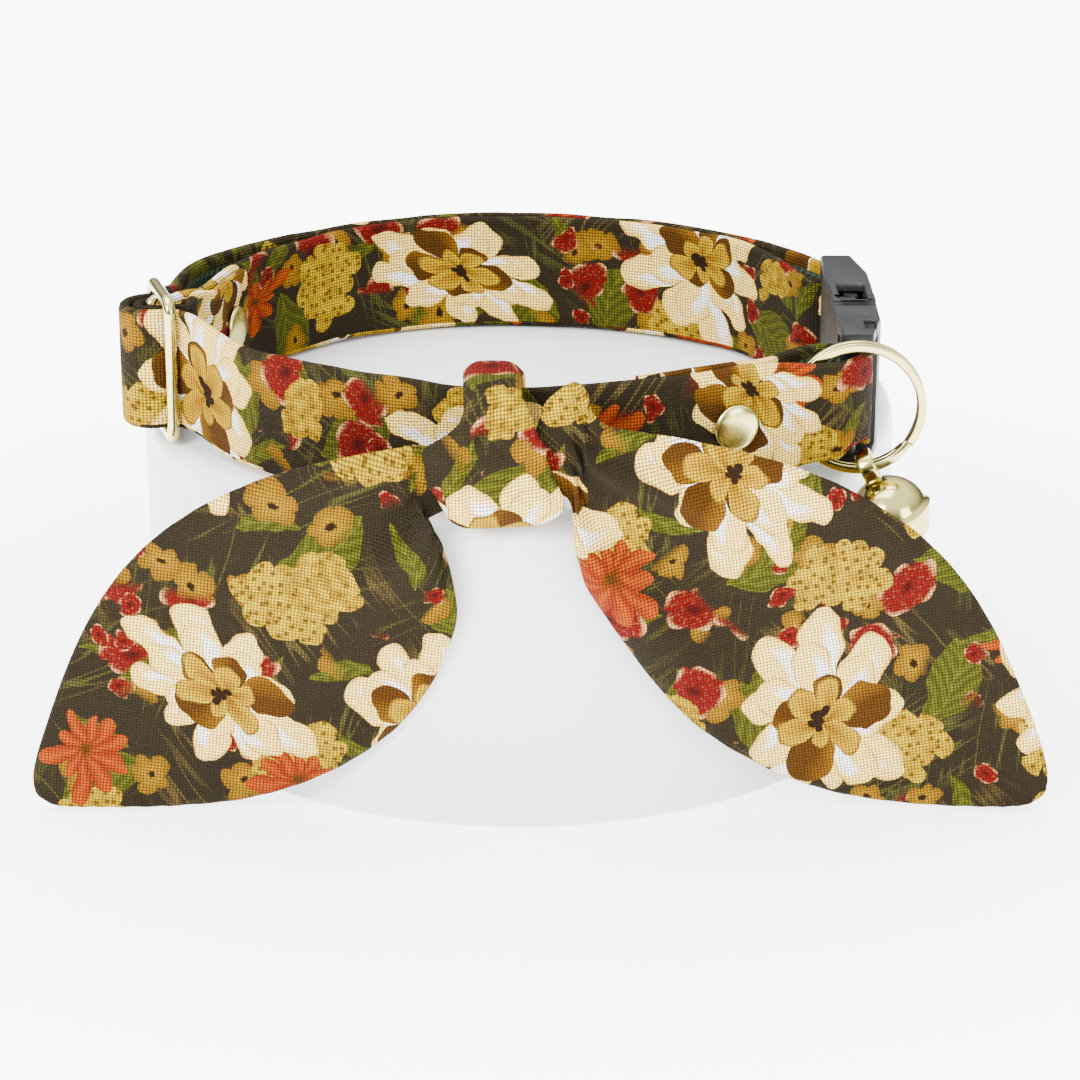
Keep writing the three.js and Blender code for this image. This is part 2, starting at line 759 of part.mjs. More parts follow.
// Bow tails. Each row is one section across the leaf, from the knot to the tip, in shares of
// half the bow's span and of its drop, with its depth in shares of the backward lean and
// the height of the folds that run along it.
const leftTailRows = [
  { upX: 0.08, upZ: 0.94, lowX: 0.08, lowZ: 0.835, deep: 0, fold: 0.1 },
  { upX: 0.15, upZ: 0.955, lowX: 0.15, lowZ: 0.815, deep: 0, fold: 0.15 },
  { upX: 0.215, upZ: 0.955, lowX: 0.205, lowZ: 0.785, deep: 0, fold: 0.2 },
  { upX: 0.27, upZ: 0.945, lowX: 0.167, lowZ: 0.66, deep: 0.04, fold: 1.6 },
  { upX: 0.345, upZ: 0.925, lowX: 0.155, lowZ: 0.545, deep: 0.14, fold: 1.9 },
  { upX: 0.455, upZ: 0.89, lowX: 0.178, lowZ: 0.44, deep: 0.24, fold: 1.5 },
  { upX: 0.56, upZ: 0.84, lowX: 0.22, lowZ: 0.33, deep: 0.36, fold: 0.9 },
  { upX: 0.662, upZ: 0.77, lowX: 0.29, lowZ: 0.222, deep: 0.48, fold: 0.4 },
  { upX: 0.745, upZ: 0.69, lowX: 0.378, lowZ: 0.137, deep: 0.6, fold: 0.15 },
  { upX: 0.815, upZ: 0.595, lowX: 0.48, lowZ: 0.073, deep: 0.7, fold: 0 },
  { upX: 0.875, upZ: 0.48, lowX: 0.59, lowZ: 0.03, deep: 0.8, fold: 0 },
  { upX: 0.925, upZ: 0.35, lowX: 0.7, lowZ: 0.01, deep: 0.88, fold: 0 },
  { upX: 0.967, upZ: 0.215, lowX: 0.79, lowZ: 0.001, deep: 0.94, fold: 0 },
  { upX: 0.992, upZ: 0.125, lowX: 0.86, lowZ: 0.0, deep: 0.97, fold: 0 },
  { upX: 1.0, upZ: 0.075, lowX: 0.915, lowZ: 0.0, deep: 0.99, fold: 0 },
  { upX: 0.998, upZ: 0.045, lowX: 0.95, lowZ: 0.003, deep: 1, fold: 0 },
  { upX: 0.99, upZ: 0.026, lowX: 0.972, lowZ: 0.011, deep: 1, fold: 0 },
];
const rightTailRows = [
  { upX: -0.06, upZ: 0.94, lowX: -0.06, lowZ: 0.87, deep: 0, fold: 0.1 },
  { upX: -0.012, upZ: 0.98, lowX: -0.005, lowZ: 0.87, deep: 0, fold: 0.15 },
  { upX: 0.015, upZ: 1.06, lowX: 0.02, lowZ: 0.87, deep: 0, fold: 0.05 },
  { upX: 0.05, upZ: 1.095, lowX: 0.05, lowZ: 0.84, deep: 0, fold: 0.1 },
  { upX: 0.088, upZ: 1.085, lowX: 0.066, lowZ: 0.77, deep: 0, fold: 0.6 },
  { upX: 0.102, upZ: 1.03, lowX: 0.068, lowZ: 0.715, deep: 0.02, fold: 1.3 },
  { upX: 0.132, upZ: 1.0, lowX: 0.077, lowZ: 0.675, deep: 0.04, fold: 1.6 },
  { upX: 0.185, upZ: 0.985, lowX: 0.09, lowZ: 0.62, deep: 0.08, fold: 1.8 },
  { upX: 0.27, upZ: 0.965, lowX: 0.115, lowZ: 0.565, deep: 0.14, fold: 1.9 },
  { upX: 0.41, upZ: 0.92, lowX: 0.17, lowZ: 0.46, deep: 0.24, fold: 1.6 },
  { upX: 0.54, upZ: 0.86, lowX: 0.235, lowZ: 0.345, deep: 0.36, fold: 1.0 },
  { upX: 0.647, upZ: 0.785, lowX: 0.312, lowZ: 0.24, deep: 0.48, fold: 0.45 },
  { upX: 0.742, upZ: 0.695, lowX: 0.398, lowZ: 0.16, deep: 0.6, fold: 0.15 },
  { upX: 0.822, upZ: 0.585, lowX: 0.49, lowZ: 0.095, deep: 0.7, fold: 0 },
  { upX: 0.886, upZ: 0.46, lowX: 0.585, lowZ: 0.05, deep: 0.8, fold: 0 },
  { upX: 0.938, upZ: 0.325, lowX: 0.685, lowZ: 0.022, deep: 0.88, fold: 0 },
  { upX: 0.977, upZ: 0.21, lowX: 0.785, lowZ: 0.006, deep: 0.94, fold: 0 },
  { upX: 1.0, upZ: 0.125, lowX: 0.865, lowZ: 0.001, deep: 0.97, fold: 0 },
  { upX: 1.008, upZ: 0.078, lowX: 0.925, lowZ: 0.0, deep: 0.99, fold: 0 },
  { upX: 1.006, upZ: 0.045, lowX: 0.96, lowZ: 0.004, deep: 1, fold: 0 },
  { upX: 0.998, upZ: 0.026, lowX: 0.982, lowZ: 0.012, deep: 1, fold: 0 },
];

const tailFaceY = -standRadius - tailStandGap;

// A tail is a doubled sheet: a front and a back face of sections that share their edges.
// A main and a lesser fold run out from the knot, each at its share across the section.
function bowTail(side, rows, mainFold, lesserFold) {
  const across = 12;
  const rings = rows.map((row) => {
    const front = [];
    const back = [];
    for (let j = 0; j <= across; j += 1) {
      const share = j / across;
      const x = THREE.MathUtils.lerp(row.upX, row.lowX, share);
      const z = THREE.MathUtils.lerp(row.upZ, row.lowZ, share);
      const ripple = 1.5 * Math.exp(-(((share - mainFold) / 0.15) ** 2))
        + 0.8 * Math.exp(-(((share - lesserFold) / 0.11) ** 2));
      const thick = tailThickness * (j === 0 || j === across ? 0.45 : 1);
      const y = tailFaceY + tailBackLean * row.deep - row.fold * ripple;
      const place = new THREE.Vector3(
        bowCentreX + side * bowHalfSpan * x,
        y,
        bowFloorGap + bowDrop * z,
      );
      front.push(place.clone().setY(y - thick / 2));
      back.unshift(place.clone().setY(y + thick / 2));
    }
    return [...front, ...back];
  });
  return skinTail(rings);
}

// Sections are joined like any run of rings. The two ends are closed by strips, since they are wavy.
function skinTail(rings) {
  const count = rings[0].length;
  const half = count / 2;
  const positions = rings.flat().flatMap((point) => [point.x, point.y, point.z]);
  const faces = [];
  for (let i = 0; i < rings.length - 1; i += 1) {
    for (let j = 0; j < count; j += 1) {
      const k = (j + 1) % count;
      const here = i * count;
      const next = here + count;
      faces.push(here + j, next + j, next + k, here + j, next + k, here + k);
    }
  }
  const end = (rings.length - 1) * count;
  for (let j = 0; j < half - 1; j += 1) {
    const a = j;
    const b = j + 1;
    const c = count - 2 - j;
    const d = count - 1 - j;
    faces.push(a, b, c, a, c, d);
    faces.push(end + a, end + c, end + b, end + a, end + d, end + c);
  }
  return orientedGeometry(positions, faces);
}
addPiece('bow_tail_left', bowTail(-1, leftTailRows, 0.58, 0.12), printCloth);
addPiece('bow_tail_right', bowTail(1, rightTailRows, 0.84, 0.3), printCloth);

// Knot: a closed loop of folded cloth round the strap and the tails' necks. Each row is a place
// round the loop in degrees, from the back over the top to the front and below the strap, with
// its width to the left and right in shares of the knot's half width, and its wall. The front's
// lower edge slants up to the right by the tilt.
const knotBackY = knotPlace.y + strapThickness / 2 + layerGap + knotSlack;
const knotFaceY = tailFaceY - tailThickness / 2 - knotFrontWall / 2 - 2 * layerGap;
const knotLow = strapBottom + 0.65 * knotWall;
const knotHigh = strapTop - knotTopSqueeze + knotTopSlack + knotTopWall / 2;
const knotRows = [
  { at: 0, left: 0.5, right: 0.5, wall: knotWall },
  { at: 40, left: 0.5, right: 0.5, wall: knotWall },
  { at: 75, left: 0.49, right: 0.46, wall: knotTopWall },
  { at: 100, left: 0.48, right: 0.45, wall: knotTopWall },
  { at: 130, left: 0.46, right: 0.46, wall: knotFrontWall },
  { at: 150, left: 0.52, right: 0.54, wall: knotFrontWall },
  { at: 160, left: 0.62, right: 0.6, wall: knotFrontWall },
  { at: 168, left: 0.8, right: 0.64, wall: knotFrontWall },
  { at: 177, left: 1.12, right: 0.72, wall: knotFrontWall },
  { at: 181, left: 1.06, right: 0.87, wall: knotFrontWall },
  { at: 187, left: 0.93, right: 0.96, wall: knotFrontWall },
  { at: 198, left: 0.81, right: 1.05, wall: knotFrontWall },
  { at: 212, left: 0.72, right: 1.11, wall: knotFrontWall },
  { at: 228, left: 0.64, right: 1.12, wall: knotFrontWall },
  { at: 243, left: 0.58, right: 1.04, wall: knotWall },
  { at: 262, left: 0.5, right: 0.76, wall: knotWall },
  { at: 290, left: 0.5, right: 0.55, wall: knotWall },
  { at: 325, left: 0.5, right: 0.5, wall: knotWall },
];

function knotRing(row) {
  const halfDepth = (knotBackY + knotWall / 2 - knotFaceY) / 2;
  const middleY = (knotBackY + knotWall / 2 + knotFaceY) / 2;
  const halfHeight = (knotHigh - knotLow) / 2;
  const middleZ = (knotHigh + knotLow) / 2;
  const square = 0.45;
  const bend = (value) => Math.sign(value) * Math.abs(value) ** square;
  const angle = row.at * degree;
  const y = middleY + halfDepth * bend(Math.cos(angle));
  const z = middleZ + halfHeight * bend(Math.sin(angle));
  const out = new THREE.Vector2(Math.cos(angle) / halfDepth, Math.sin(angle) / halfHeight).normalize();
  const left = -knotHalfWidth * row.left;
  const right = knotHalfWidth * row.right;
  const corners = [
    { x: left, out: 0 },
    { x: left + 0.9, out: 0.5 },
    { x: (left + right) / 2, out: 0.62 },
    { x: right - 0.9, out: 0.5 },
    { x: right, out: 0 },
    { x: right - 0.9, out: -0.5 },
    { x: (left + right) / 2, out: -0.5 },
    { x: left + 0.9, out: -0.5 },
  ];
  const front = THREE.MathUtils.smoothstep(-Math.cos(angle), 0.2, 0.8);
  return corners.map((corner) => new THREE.Vector3(
    knotPlace.x + corner.x,
    y + out.x * corner.out * row.wall,
    z + out.y * corner.out * row.wall + front * knotTilt * Math.max(corner.x, -4),
  ));
}

// Rows between the named ones are blended, so that the loop is round.
function knotStations(perGap) {
  const stations = [];
  knotRows.forEach((row, i) => {
    const next = knotRows[(i + 1) % knotRows.length];
    const nextAt = next.at > row.at ? next.at : next.at + 360;
    for (let j = 0; j < perGap; j += 1) {
      const share = j / perGap;
      stations.push({
        at: THREE.MathUtils.lerp(row.at, nextAt, share),
        left: THREE.MathUtils.lerp(row.left, next.left, share),
        right: THREE.MathUtils.lerp(row.right, next.right, share),
        wall: THREE.MathUtils.lerp(row.wall, next.wall, share),
      });
    }
  });
  return stations;
}
addPiece('bow_knot', skinRings(knotStations(2).map(knotRing), true), printCloth);

export default collar;
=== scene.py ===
import math
from functools import partialmethod

import bmesh
import bpy
import numpy as np
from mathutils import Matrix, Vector


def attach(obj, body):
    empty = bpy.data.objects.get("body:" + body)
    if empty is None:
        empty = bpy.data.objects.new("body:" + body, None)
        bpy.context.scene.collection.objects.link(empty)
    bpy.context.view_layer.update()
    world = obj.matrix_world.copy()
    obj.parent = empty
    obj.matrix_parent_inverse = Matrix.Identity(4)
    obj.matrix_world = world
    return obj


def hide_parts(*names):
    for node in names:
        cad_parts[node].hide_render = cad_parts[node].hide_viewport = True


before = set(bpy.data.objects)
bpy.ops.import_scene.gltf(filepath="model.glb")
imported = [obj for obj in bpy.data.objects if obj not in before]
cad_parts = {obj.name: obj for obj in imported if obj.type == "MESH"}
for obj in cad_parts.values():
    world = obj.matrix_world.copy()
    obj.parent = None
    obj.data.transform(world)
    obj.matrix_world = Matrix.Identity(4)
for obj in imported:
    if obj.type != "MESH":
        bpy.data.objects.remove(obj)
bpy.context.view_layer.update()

# Bow tie pet collar on a plain round stand. Sizes below are in millimetres;
# every mesh is written in metres by the mm factor.
scene = bpy.context.scene
mm = 0.001


def newPiece(name, data):
    piece = bpy.data.objects.new(name, data)
    scene.collection.objects.link(piece)
    return piece


# Camera, fitted to the stand's rim and base and to the collar's loop.
cameraFit = {"target": (2.8, 0.0, 19.3), "elevation": 21.5, "distance": 500.0, "lens": 122.13}
tilt = math.radians(cameraFit["elevation"])
cameraTarget = Vector(cameraFit["target"]) * mm
cameraBack = Vector((0.0, -math.cos(tilt), math.sin(tilt))) * cameraFit["distance"] * mm
cameraData = bpy.data.cameras.new("camera")
cameraData.lens = cameraFit["lens"]
cameraData.sensor_width = 36.0
cameraData.dof.use_dof = False
cameraData.clip_start = 0.02
cameraData.clip_end = 20.0
camera = newPiece("camera", cameraData)
camera.location = cameraTarget + cameraBack
camera.rotation_euler = (math.pi / 2 - tilt, 0.0, 0.0)
scene.camera = camera
print("stage: camera")


# A value inside a node tree. Arithmetic on it adds Math nodes.
class Field:
    def __init__(self, tree, socket):
        self.tree = tree
        self.socket = socket

    def step(self, operation, *others, clamp=False):
        values = dict(enumerate((self, *others)))
        node = addNode(self.tree, "Math", values, operation=operation, use_clamp=clamp)
        return Field(self.tree, node.outputs[0])

    def flipped(self):
        return constant(self.tree, 1.0) - self

    __add__ = partialmethod(step, "ADD")
    __sub__ = partialmethod(step, "SUBTRACT")
    __mul__ = partialmethod(step, "MULTIPLY")
    __truediv__ = partialmethod(step, "DIVIDE")
    __pow__ = partialmethod(step, "POWER")
    wave = partialmethod(step, "SINE")
    cosine = partialmethod(step, "COSINE")
    size = partialmethod(step, "ABSOLUTE")
    root = partialmethod(step, "SQRT")
    fraction = partialmethod(step, "FRACT")
    floor = partialmethod(step, "FLOOR")
    above = partialmethod(step, "GREATER_THAN")
    clamped = partialmethod(step, "ADD", 0.0, clamp=True)


def feed(tree, slot, value):
    if isinstance(value, Field):
        tree.links.new(value.socket, slot)
    elif isinstance(value, bpy.types.NodeSocket):
        tree.links.new(value, slot)
    else:
        slot.default_value = value


def fill(tree, node, values):
    for label, value in values.items():
        feed(tree, node.inputs[label], value)


def addNode(tree, kind, values, **settings):
    node = tree.nodes.new("ShaderNode" + kind)
    for key, value in settings.items():
        setattr(node, key, value)
    fill(tree, node, values)
    return node


def constant(tree, value):
    node = tree.nodes.new("ShaderNodeValue")
    node.outputs[0].default_value = value
    return Field(tree, node.outputs[0])


# A node group with its inputs as fields. An input without a default is a vector.
def newGroup(name, inputs, outputs, outputKind="NodeSocketFloat"):
    tree = bpy.data.node_groups.new(name, "ShaderNodeTree")
    for label, default in inputs.items():
        kind = "NodeSocketVector" if default is None else "NodeSocketFloat"
        socket = tree.interface.new_socket(label, in_out="INPUT", socket_type=kind)
        if default is not None:
            socket.default_value = default
    for label in outputs:
        tree.interface.new_socket(label, in_out="OUTPUT", socket_type=outputKind)
    entry = tree.nodes.new("NodeGroupInput")
    leave = tree.nodes.new("NodeGroupOutput")
    return tree, {socket.name: Field(tree, socket) for socket in entry.outputs}, leave


def split(tree, vector):
    return [Field(tree, socket) for socket in addNode(tree, "SeparateXYZ", {0: vector}).outputs]


def combine(tree, x, y):
    return addNode(tree, "CombineXYZ", {"X": x, "Y": y}).outputs[0]


def noise(tree, vector, scale, detail):
    node = addNode(tree, "TexNoise", {"Vector": vector, "Scale": scale, "Detail": detail})
    return Field(tree, node.outputs[0])


def useGroup(tree, group, values):
    node = tree.nodes.new("ShaderNodeGroup")
    node.node_tree = group
    fill(tree, node, values)
    return {socket.name: Field(tree, socket) for socket in node.outputs}


# A mix of two colours. Each is a socket, the name of an ink, or three numbers.
def mixColour(tree, share, first, second):
    node = addNode(tree, "Mix", {"Factor": share}, data_type="RGBA")
    for label, colour in (("A", first), ("B", second)):
        colour = inks[colour] if isinstance(colour, str) else colour
        fill(tree, node, {label: (*colour, 1) if isinstance(colour, (tuple, list)) else colour})
    return node.outputs["Result"]


def scaleColour(tree, colour, amount):
    return addNode(tree, "VectorMath", {0: colour, "Scale": amount}, operation="SCALE").outputs[0]


# Motif scatter: one place in each cell of a jittered square lattice. Gives the position from the
# nearest place in millimetres, turned by a random angle and foreshortened across, with two
# random numbers for that place.
def makeScatter():
    tree, entry, leave = newGroup(
        "motif scatter",
        {"Cloth": None, "Cell": 10.0, "Jitter": 0.5, "Seed": 0.0, "Foreshortening": 0.0},
        ["X", "Y", "Pick", "Shade"])
    x, y, _ = split(tree, entry["Cloth"])
    cell, seed = entry["Cell"], entry["Seed"]
    u = x / cell + seed
    v = y / cell + seed * 1.73
    voronoi = addNode(tree, "TexVoronoi", {}, voronoi_dimensions="2D", feature="F1")
    fill(tree, voronoi, {"Vector": combine(tree, u, v), "Scale": 1.0, "Randomness": entry["Jitter"]})
    px, py, _ = split(tree, voronoi.outputs["Position"])
    red, green, blue = split(tree, voronoi.outputs["Color"])
    turn = red * (2 * math.pi)
    cos, sin = turn.cosine(), turn.wave()
    awayX, awayY = (u - px) * cell, (v - py) * cell
    squash = (entry["Foreshortening"] * (blue * 0.7 + 0.3)).flipped()
    fill(tree, leave, {"X": awayX * cos + awayY * sin, "Y": (awayY * cos - awayX * sin) / squash,
                       "Pick": green, "Shade": blue})
    return tree


# Petal ring: a mask of rounded petals. The outline is the radius times one minus the notch depth
# times the lobe wave; each petal has its own length.
def makePetals():
    tree, entry, leave = newGroup(
        "petal ring",
        {"X": 0.0, "Y": 0.0, "Turn": 0.0, "Radius": 5.0, "Petals": 5.0, "Notch": 0.4,
         "Roundness": 0.5, "Uneven": 0.15, "Seed": 0.0},
        ["Mask", "Reach", "Across"])
    x, y, count, notch = [entry[label] for label in ("X", "Y", "Petals", "Notch")]
    distance = (x * x + y * y).root()
    angle = y.step("ARCTAN2", x) + entry["Turn"]
    lobe = (angle * count * 0.5).cosine().size() ** entry["Roundness"]
    petal = angle * count / (2 * math.pi) + 0.5
    number = petal.floor().step("FLOORED_MODULO", count) + entry["Seed"] * 37.0
    white = addNode(tree, "TexWhiteNoise", {}, noise_dimensions="1D")
    fill(tree, white, {"W": number})
    vary = entry["Uneven"] * (Field(tree, white.outputs["Value"]) - 0.5) * 2.0 + 1.0
    outline = entry["Radius"] * vary * (notch.flipped() + notch * lobe)
    fill(tree, leave, {"Mask": ((outline - distance) * 7.0 + 0.5).clamped(),
                       "Reach": distance / outline, "Across": petal.fraction() - 0.5})
    return tree


scatterGroup = makeScatter()
petalGroup = makePetals()


def scatter(tree, cloth, cell, jitter, seed, foreshortening=0.0):
    return useGroup(tree, scatterGroup, {
        "Cloth": cloth, "Cell": cell, "Jitter": jitter, "Seed": seed, "Foreshortening": foreshortening})


def petals(tree, spot, radius, count, notch, roundness, uneven=0.15, turn=0.0, shift=(0.0, 0.0)):
    return useGroup(tree, petalGroup, {
        "X": spot["X"] - shift[0], "Y": spot["Y"] - shift[1], "Turn": turn, "Seed": spot["Shade"],
        "Radius": radius, "Petals": count, "Notch": notch, "Roundness": roundness, "Uneven": uneven})


inks = {
    "ground": (0.0125, 0.0085, 0.0046), "groundOlive": (0.0155, 0.013, 0.0056),
    "cream": (0.95, 0.65, 0.15), "white": (0.95, 0.93, 0.88), "tan": (0.42, 0.22, 0.02),
    "brown": (0.06, 0.021, 0.0008), "gold": (0.44, 0.25, 0.0), "goldDeep": (0.19, 0.078, 0.0),
    "eye": (0.012, 0.004, 0.001), "red": (0.12, 0.0002, 0.0006), "redDeep": (0.035, 0.0004, 0.0006),
    "redTip": (0.7, 0.36, 0.13), "orange": (0.2, 0.016, 0.0), "orangeLight": (0.32, 0.05, 0.0),
    "ochre": (0.15, 0.066, 0.0), "ochreLight": (0.3, 0.155, 0.0),
    "yellow": (0.48, 0.315, 0.0), "yellowDeep": (0.27, 0.15, 0.0),
    "olive": (0.038, 0.042, 0.002), "leafLight": (0.115, 0.12, 0.007),
    "stroke": (0.06, 0.062, 0.01), "strokeTan": (0.1, 0.07, 0.016),
}


# Floral print: layers of generic motifs painted one over the other on a dark ground.
def makePrint():
    tree, entry, leave = newGroup("floral print", {"Cloth": None}, ["Colour"], "NodeSocketColor")
    raw = entry["Cloth"]
    # Hand-drawn edges: the cloth position is moved a little by noise before any motif is drawn.
    x, y, _ = split(tree, raw)
    sway = noise(tree, raw, 0.22, 1.0) - 0.5
    swayAcross = noise(tree, combine(tree, y + 31.0, x), 0.25, 1.0) - 0.5
    cloth = combine(tree, x + sway * 2.6, y + swayAcross * 2.6)

    def mix(share, first, second):
        return mixColour(tree, share, first, second)

    colour = mix(noise(tree, raw, 0.16, 1.0), "ground", "groundOlive")

    # A patch: where slow noise passes a limit. Motifs keep to it in drifts.
    def patch(across, up, scale, detail, limit, steep):
        return ((noise(tree, combine(tree, across, up), scale, detail) - limit) * steep).clamped()

    # Grass strokes: narrow bands round one level of a stretched noise, in patches.
    for turn, seed, ink in ((0.5, 11.0, "stroke"), (-0.9, 47.0, "strokeTan"), (1.35, 83.0, "stroke")):
        along = x * math.cos(turn) + y * math.sin(turn) + seed
        side = y * math.cos(turn) - x * math.sin(turn) + seed
        level = noise(tree, combine(tree, along * 0.06, side * 0.5), 1.0, 1.0)
        line = (((level - 0.5).size() * -24.0) + 1.0).clamped()
        where = patch(x + seed, y, 0.07, 1.0, 0.52, 9.0)
        colour = mix(line * where * 0.75, colour, ink)

    # Leaves: two curved sides that meet in points, with a pale rib.
    leafFits = (
        {"cell": 19.0, "seed": 3.1, "length": 6.6, "width": 3.4, "keep": 0.25},
        {"cell": 11.0, "seed": 8.7, "length": 4.4, "width": 1.3, "keep": 0.45},
    )
    for fit in leafFits:
        spot = scatter(tree, cloth, fit["cell"], 0.8, fit["seed"])
        along = spot["X"]
        side = spot["Y"] + (along * along) * 0.04
        width = ((along / fit["length"]) ** 2.0).flipped() * fit["width"]
        mask = ((width - side.size()) * 6.0 + 0.5).clamped() * spot["Pick"].above(fit["keep"])
        rib = ((side.size() * -5.0) + 1.0).clamped()
        vein = ((along * 3.0 + side.size() * 4.0).wave() * 0.5 + 0.5) * 0.4
        shade = mix((rib * 0.5 + vein).clamped(), "olive", "leafLight")
        colour = mix(mask, colour, shade)

    # Small ochre flowers with a dark dot, in drifts.
    for seed, radius, keep in ((1.4, 3.2, 0.3), (6.6, 2.6, 0.45)):
        spot = scatter(tree, cloth, 9.4, 0.65, seed, 0.2)
        flower = petals(tree, spot, radius, 5.0, 0.32, 0.5)
        shade = mix(flower["Reach"] * 0.9, "ochreLight", "ochre")
        shade = mix((flower["Reach"] * -9.0 + 2.4).clamped(), shade, "eye")
        drift = patch(x + seed * 9.0, y, 0.045, 0.0, 0.49, 30.0)
        colour = mix(flower["Mask"] * spot["Pick"].above(keep) * drift, colour, shade)

    # Red flowers with cream tips and streaks, and berries, in drifts.
    for seed, radius, cell, keep in ((4.2, 3.9, 10.5, 0.25), (9.9, 1.6, 6.0, 0.55)):
        spot = scatter(tree, cloth, cell, 0.6, seed, 0.25)
        flower = petals(tree, spot, radius, 5.0, 0.2, 0.6, 0.2)
        tip = ((flower["Reach"] - 0.82) * 8.0).clamped() * (flower["Across"].size() * -3.0 + 1.1).clamped()
        streak = ((noise(tree, raw, 2.2, 1.0) - 0.56) * 12.0).clamped() * flower["Reach"]
        shade = mix((tip * 0.8 + streak * 0.16).clamped(), "red", "redTip")
        shade = mix((flower["Reach"] * -3.4 + 1.25).clamped(), shade, "redDeep")
        drift = patch(x, y + seed * 7.0, 0.045, 0.0, 0.5, 30.0)
        colour = mix(flower["Mask"] * spot["Pick"].above(keep) * drift, colour, shade)

    # Yellow clusters, large and small: soft blobs covered in small dark dots.
    dots = scatter(tree, raw, 1.35, 0.75, 2.2)
    dot = (((dots["X"] * dots["X"] + dots["Y"] * dots["Y"]).root() * -4.0) + 1.7).clamped()
    spot = scatter(tree, cloth, 29.0, 0.7, 5.3, 0.3)
    blob = petals(tree, spot, 6.2, 9.0, 0.16, 0.8, 0.22)
    shade = mix((noise(tree, raw, 0.5, 2.0) * 2.6 - 0.8).clamped(), "yellow", "yellowDeep")
    colour = mix(blob["Mask"] * spot["Pick"].above(0.12), colour, mix(dot * 0.85, shade, "brown"))
    spot = scatter(tree, cloth, 23.0, 0.75, 15.1, 0.4)
    blob = petals(tree, spot, 4.4, 7.0, 0.16, 0.8, 0.25)
    shade = mix(dot * 0.6, "yellowDeep", "brown")
    shade = mix((noise(tree, raw, 0.7, 2.0) * 4.0 - 1.7).clamped(), shade, "yellow")
    colour = mix(blob["Mask"] * spot["Pick"].above(0.6), colour, shade)

    # Orange star flowers with many pointed petals.
    spot = scatter(tree, cloth, 25.0, 0.6, 7.7, 0.45)
    star = petals(tree, spot, 6.6, 10.0, 0.42, 0.9, 0.3)
    shade = mix((star["Across"].size() * 2.6).clamped(), "orangeLight", "orange")
    shade = mix((star["Reach"] * -5.0 + 1.4).clamped(), shade, "brown")
    colour = mix(star["Mask"] * spot["Pick"].above(0.3), colour, shade)

    # Large pale flowers: two rings of uneven cream petals with white sides and tan outlines, then
    # brown and gold inner petals that lean to one side, and a dark eye.
    spot = scatter(tree, cloth, 37.0, 0.45, 12.45, 0.45)
    rings = ((12.9, 9.0, 0.4, (0.0, -0.6)), (9.6, 7.0, 1.1, (0.3, 0.5)))
    for radius, count, turn, shift in rings:
        outer = petals(tree, spot, radius, count, 0.68, 0.4, 0.22, turn=turn, shift=shift)
        whiteSide = ((outer["Across"] * -1.0 - 0.02) * 14.0).clamped()
        whiteSide = whiteSide * (outer["Reach"] * -8.0 + 7.0).clamped()
        petal = mix(whiteSide, "cream", "white")
        outline = ((outer["Reach"] - 0.93) * 18.0).clamped() * (outer["Across"].size() * 2.4).clamped()
        petal = mix(outline, petal, "tan")
        colour = mix(outer["Mask"], colour, petal)
    inner = petals(tree, spot, 7.2, 5.0, 0.66, 0.42, 0.34, turn=0.5, shift=(0.8, 1.6))
    shade = mix((inner["Across"] * 2.0).clamped(), "brown", "goldDeep")
    colour = mix(inner["Mask"], colour, shade)
    heart = petals(tree, spot, 5.4, 6.0, 0.6, 0.5, 0.34, turn=1.2, shift=(0.5, 0.4))
    shade = mix((heart["Reach"] * 1.4 - 0.3).clamped(), "goldDeep", "gold")
    shade = mix((heart["Across"] * 3.0).clamped() * 0.5, shade, "yellow")
    shade = mix(((heart["Reach"] - 0.9) * 12.0).clamped() * 0.7, shade, "brown")
    colour = mix(heart["Mask"], colour, shade)
    eye = petals(tree, spot, 1.5, 5.0, 0.5, 0.5, 0.3, shift=(0.1, -0.3))
    colour = mix(eye["Mask"], colour, "eye")
    fill(tree, leave, {"Colour": colour})
    return tree


# Plain weave: threads go over and under by turns. Where the cell count is even the upright thread
# is on top, otherwise the crossing one; each thread's height is a half wave across it.
def makeWeave():
    tree, entry, leave = newGroup("plain weave", {"Cloth": None, "Pitch": 0.42}, ["Height", "Gap"])
    x, y, _ = split(tree, entry["Cloth"])
    slub = noise(tree, entry["Cloth"], 0.7, 0.0) - 0.5
    u = x / entry["Pitch"] + slub * 0.5
    v = y / entry["Pitch"] + slub * 0.4
    even = ((u.floor() + v.floor()) * 0.5).fraction().above(0.25)
    upright = (u.fraction() * math.pi).wave()
    crossing = (v.fraction() * math.pi).wave()
    top = upright * (crossing * 0.35 + 0.65)
    under = crossing * (upright * 0.35 + 0.65)
    # Gap rises between the threads, where the printed cotton paints shade.
    gap = ((upright * crossing) ** 0.5).flipped()
    fill(tree, leave, {"Height": top * even + under * even.flipped(), "Gap": gap ** 2.0})
    return tree


# Moulding or polish: slow clouds and a fine grain, as two noises.
def makeSurface():
    tree, entry, leave = newGroup(
        "clouds and grain", {"Place": None, "Cloud Scale": 200.0, "Grain Scale": 2600.0}, ["Cloud", "Grain"])
    fill(tree, leave, {label: noise(tree, entry["Place"], entry[label + " Scale"], detail)
                       for label, detail in (("Cloud", 3.0), ("Grain", 2.0))})
    return tree


printGroup = makePrint()
weaveGroup = makeWeave()
surfaceGroup = makeSurface()


def startMaterial(name):
    material = bpy.data.materials.new(name)
    material.use_nodes = True
    tree = material.node_tree
    return material, tree, tree.nodes["Principled BSDF"]


def bumped(tree, height, distance, strength=1.0):
    node = addNode(tree, "Bump", {"Strength": strength, "Distance": distance, "Height": height})
    return node.outputs["Normal"]


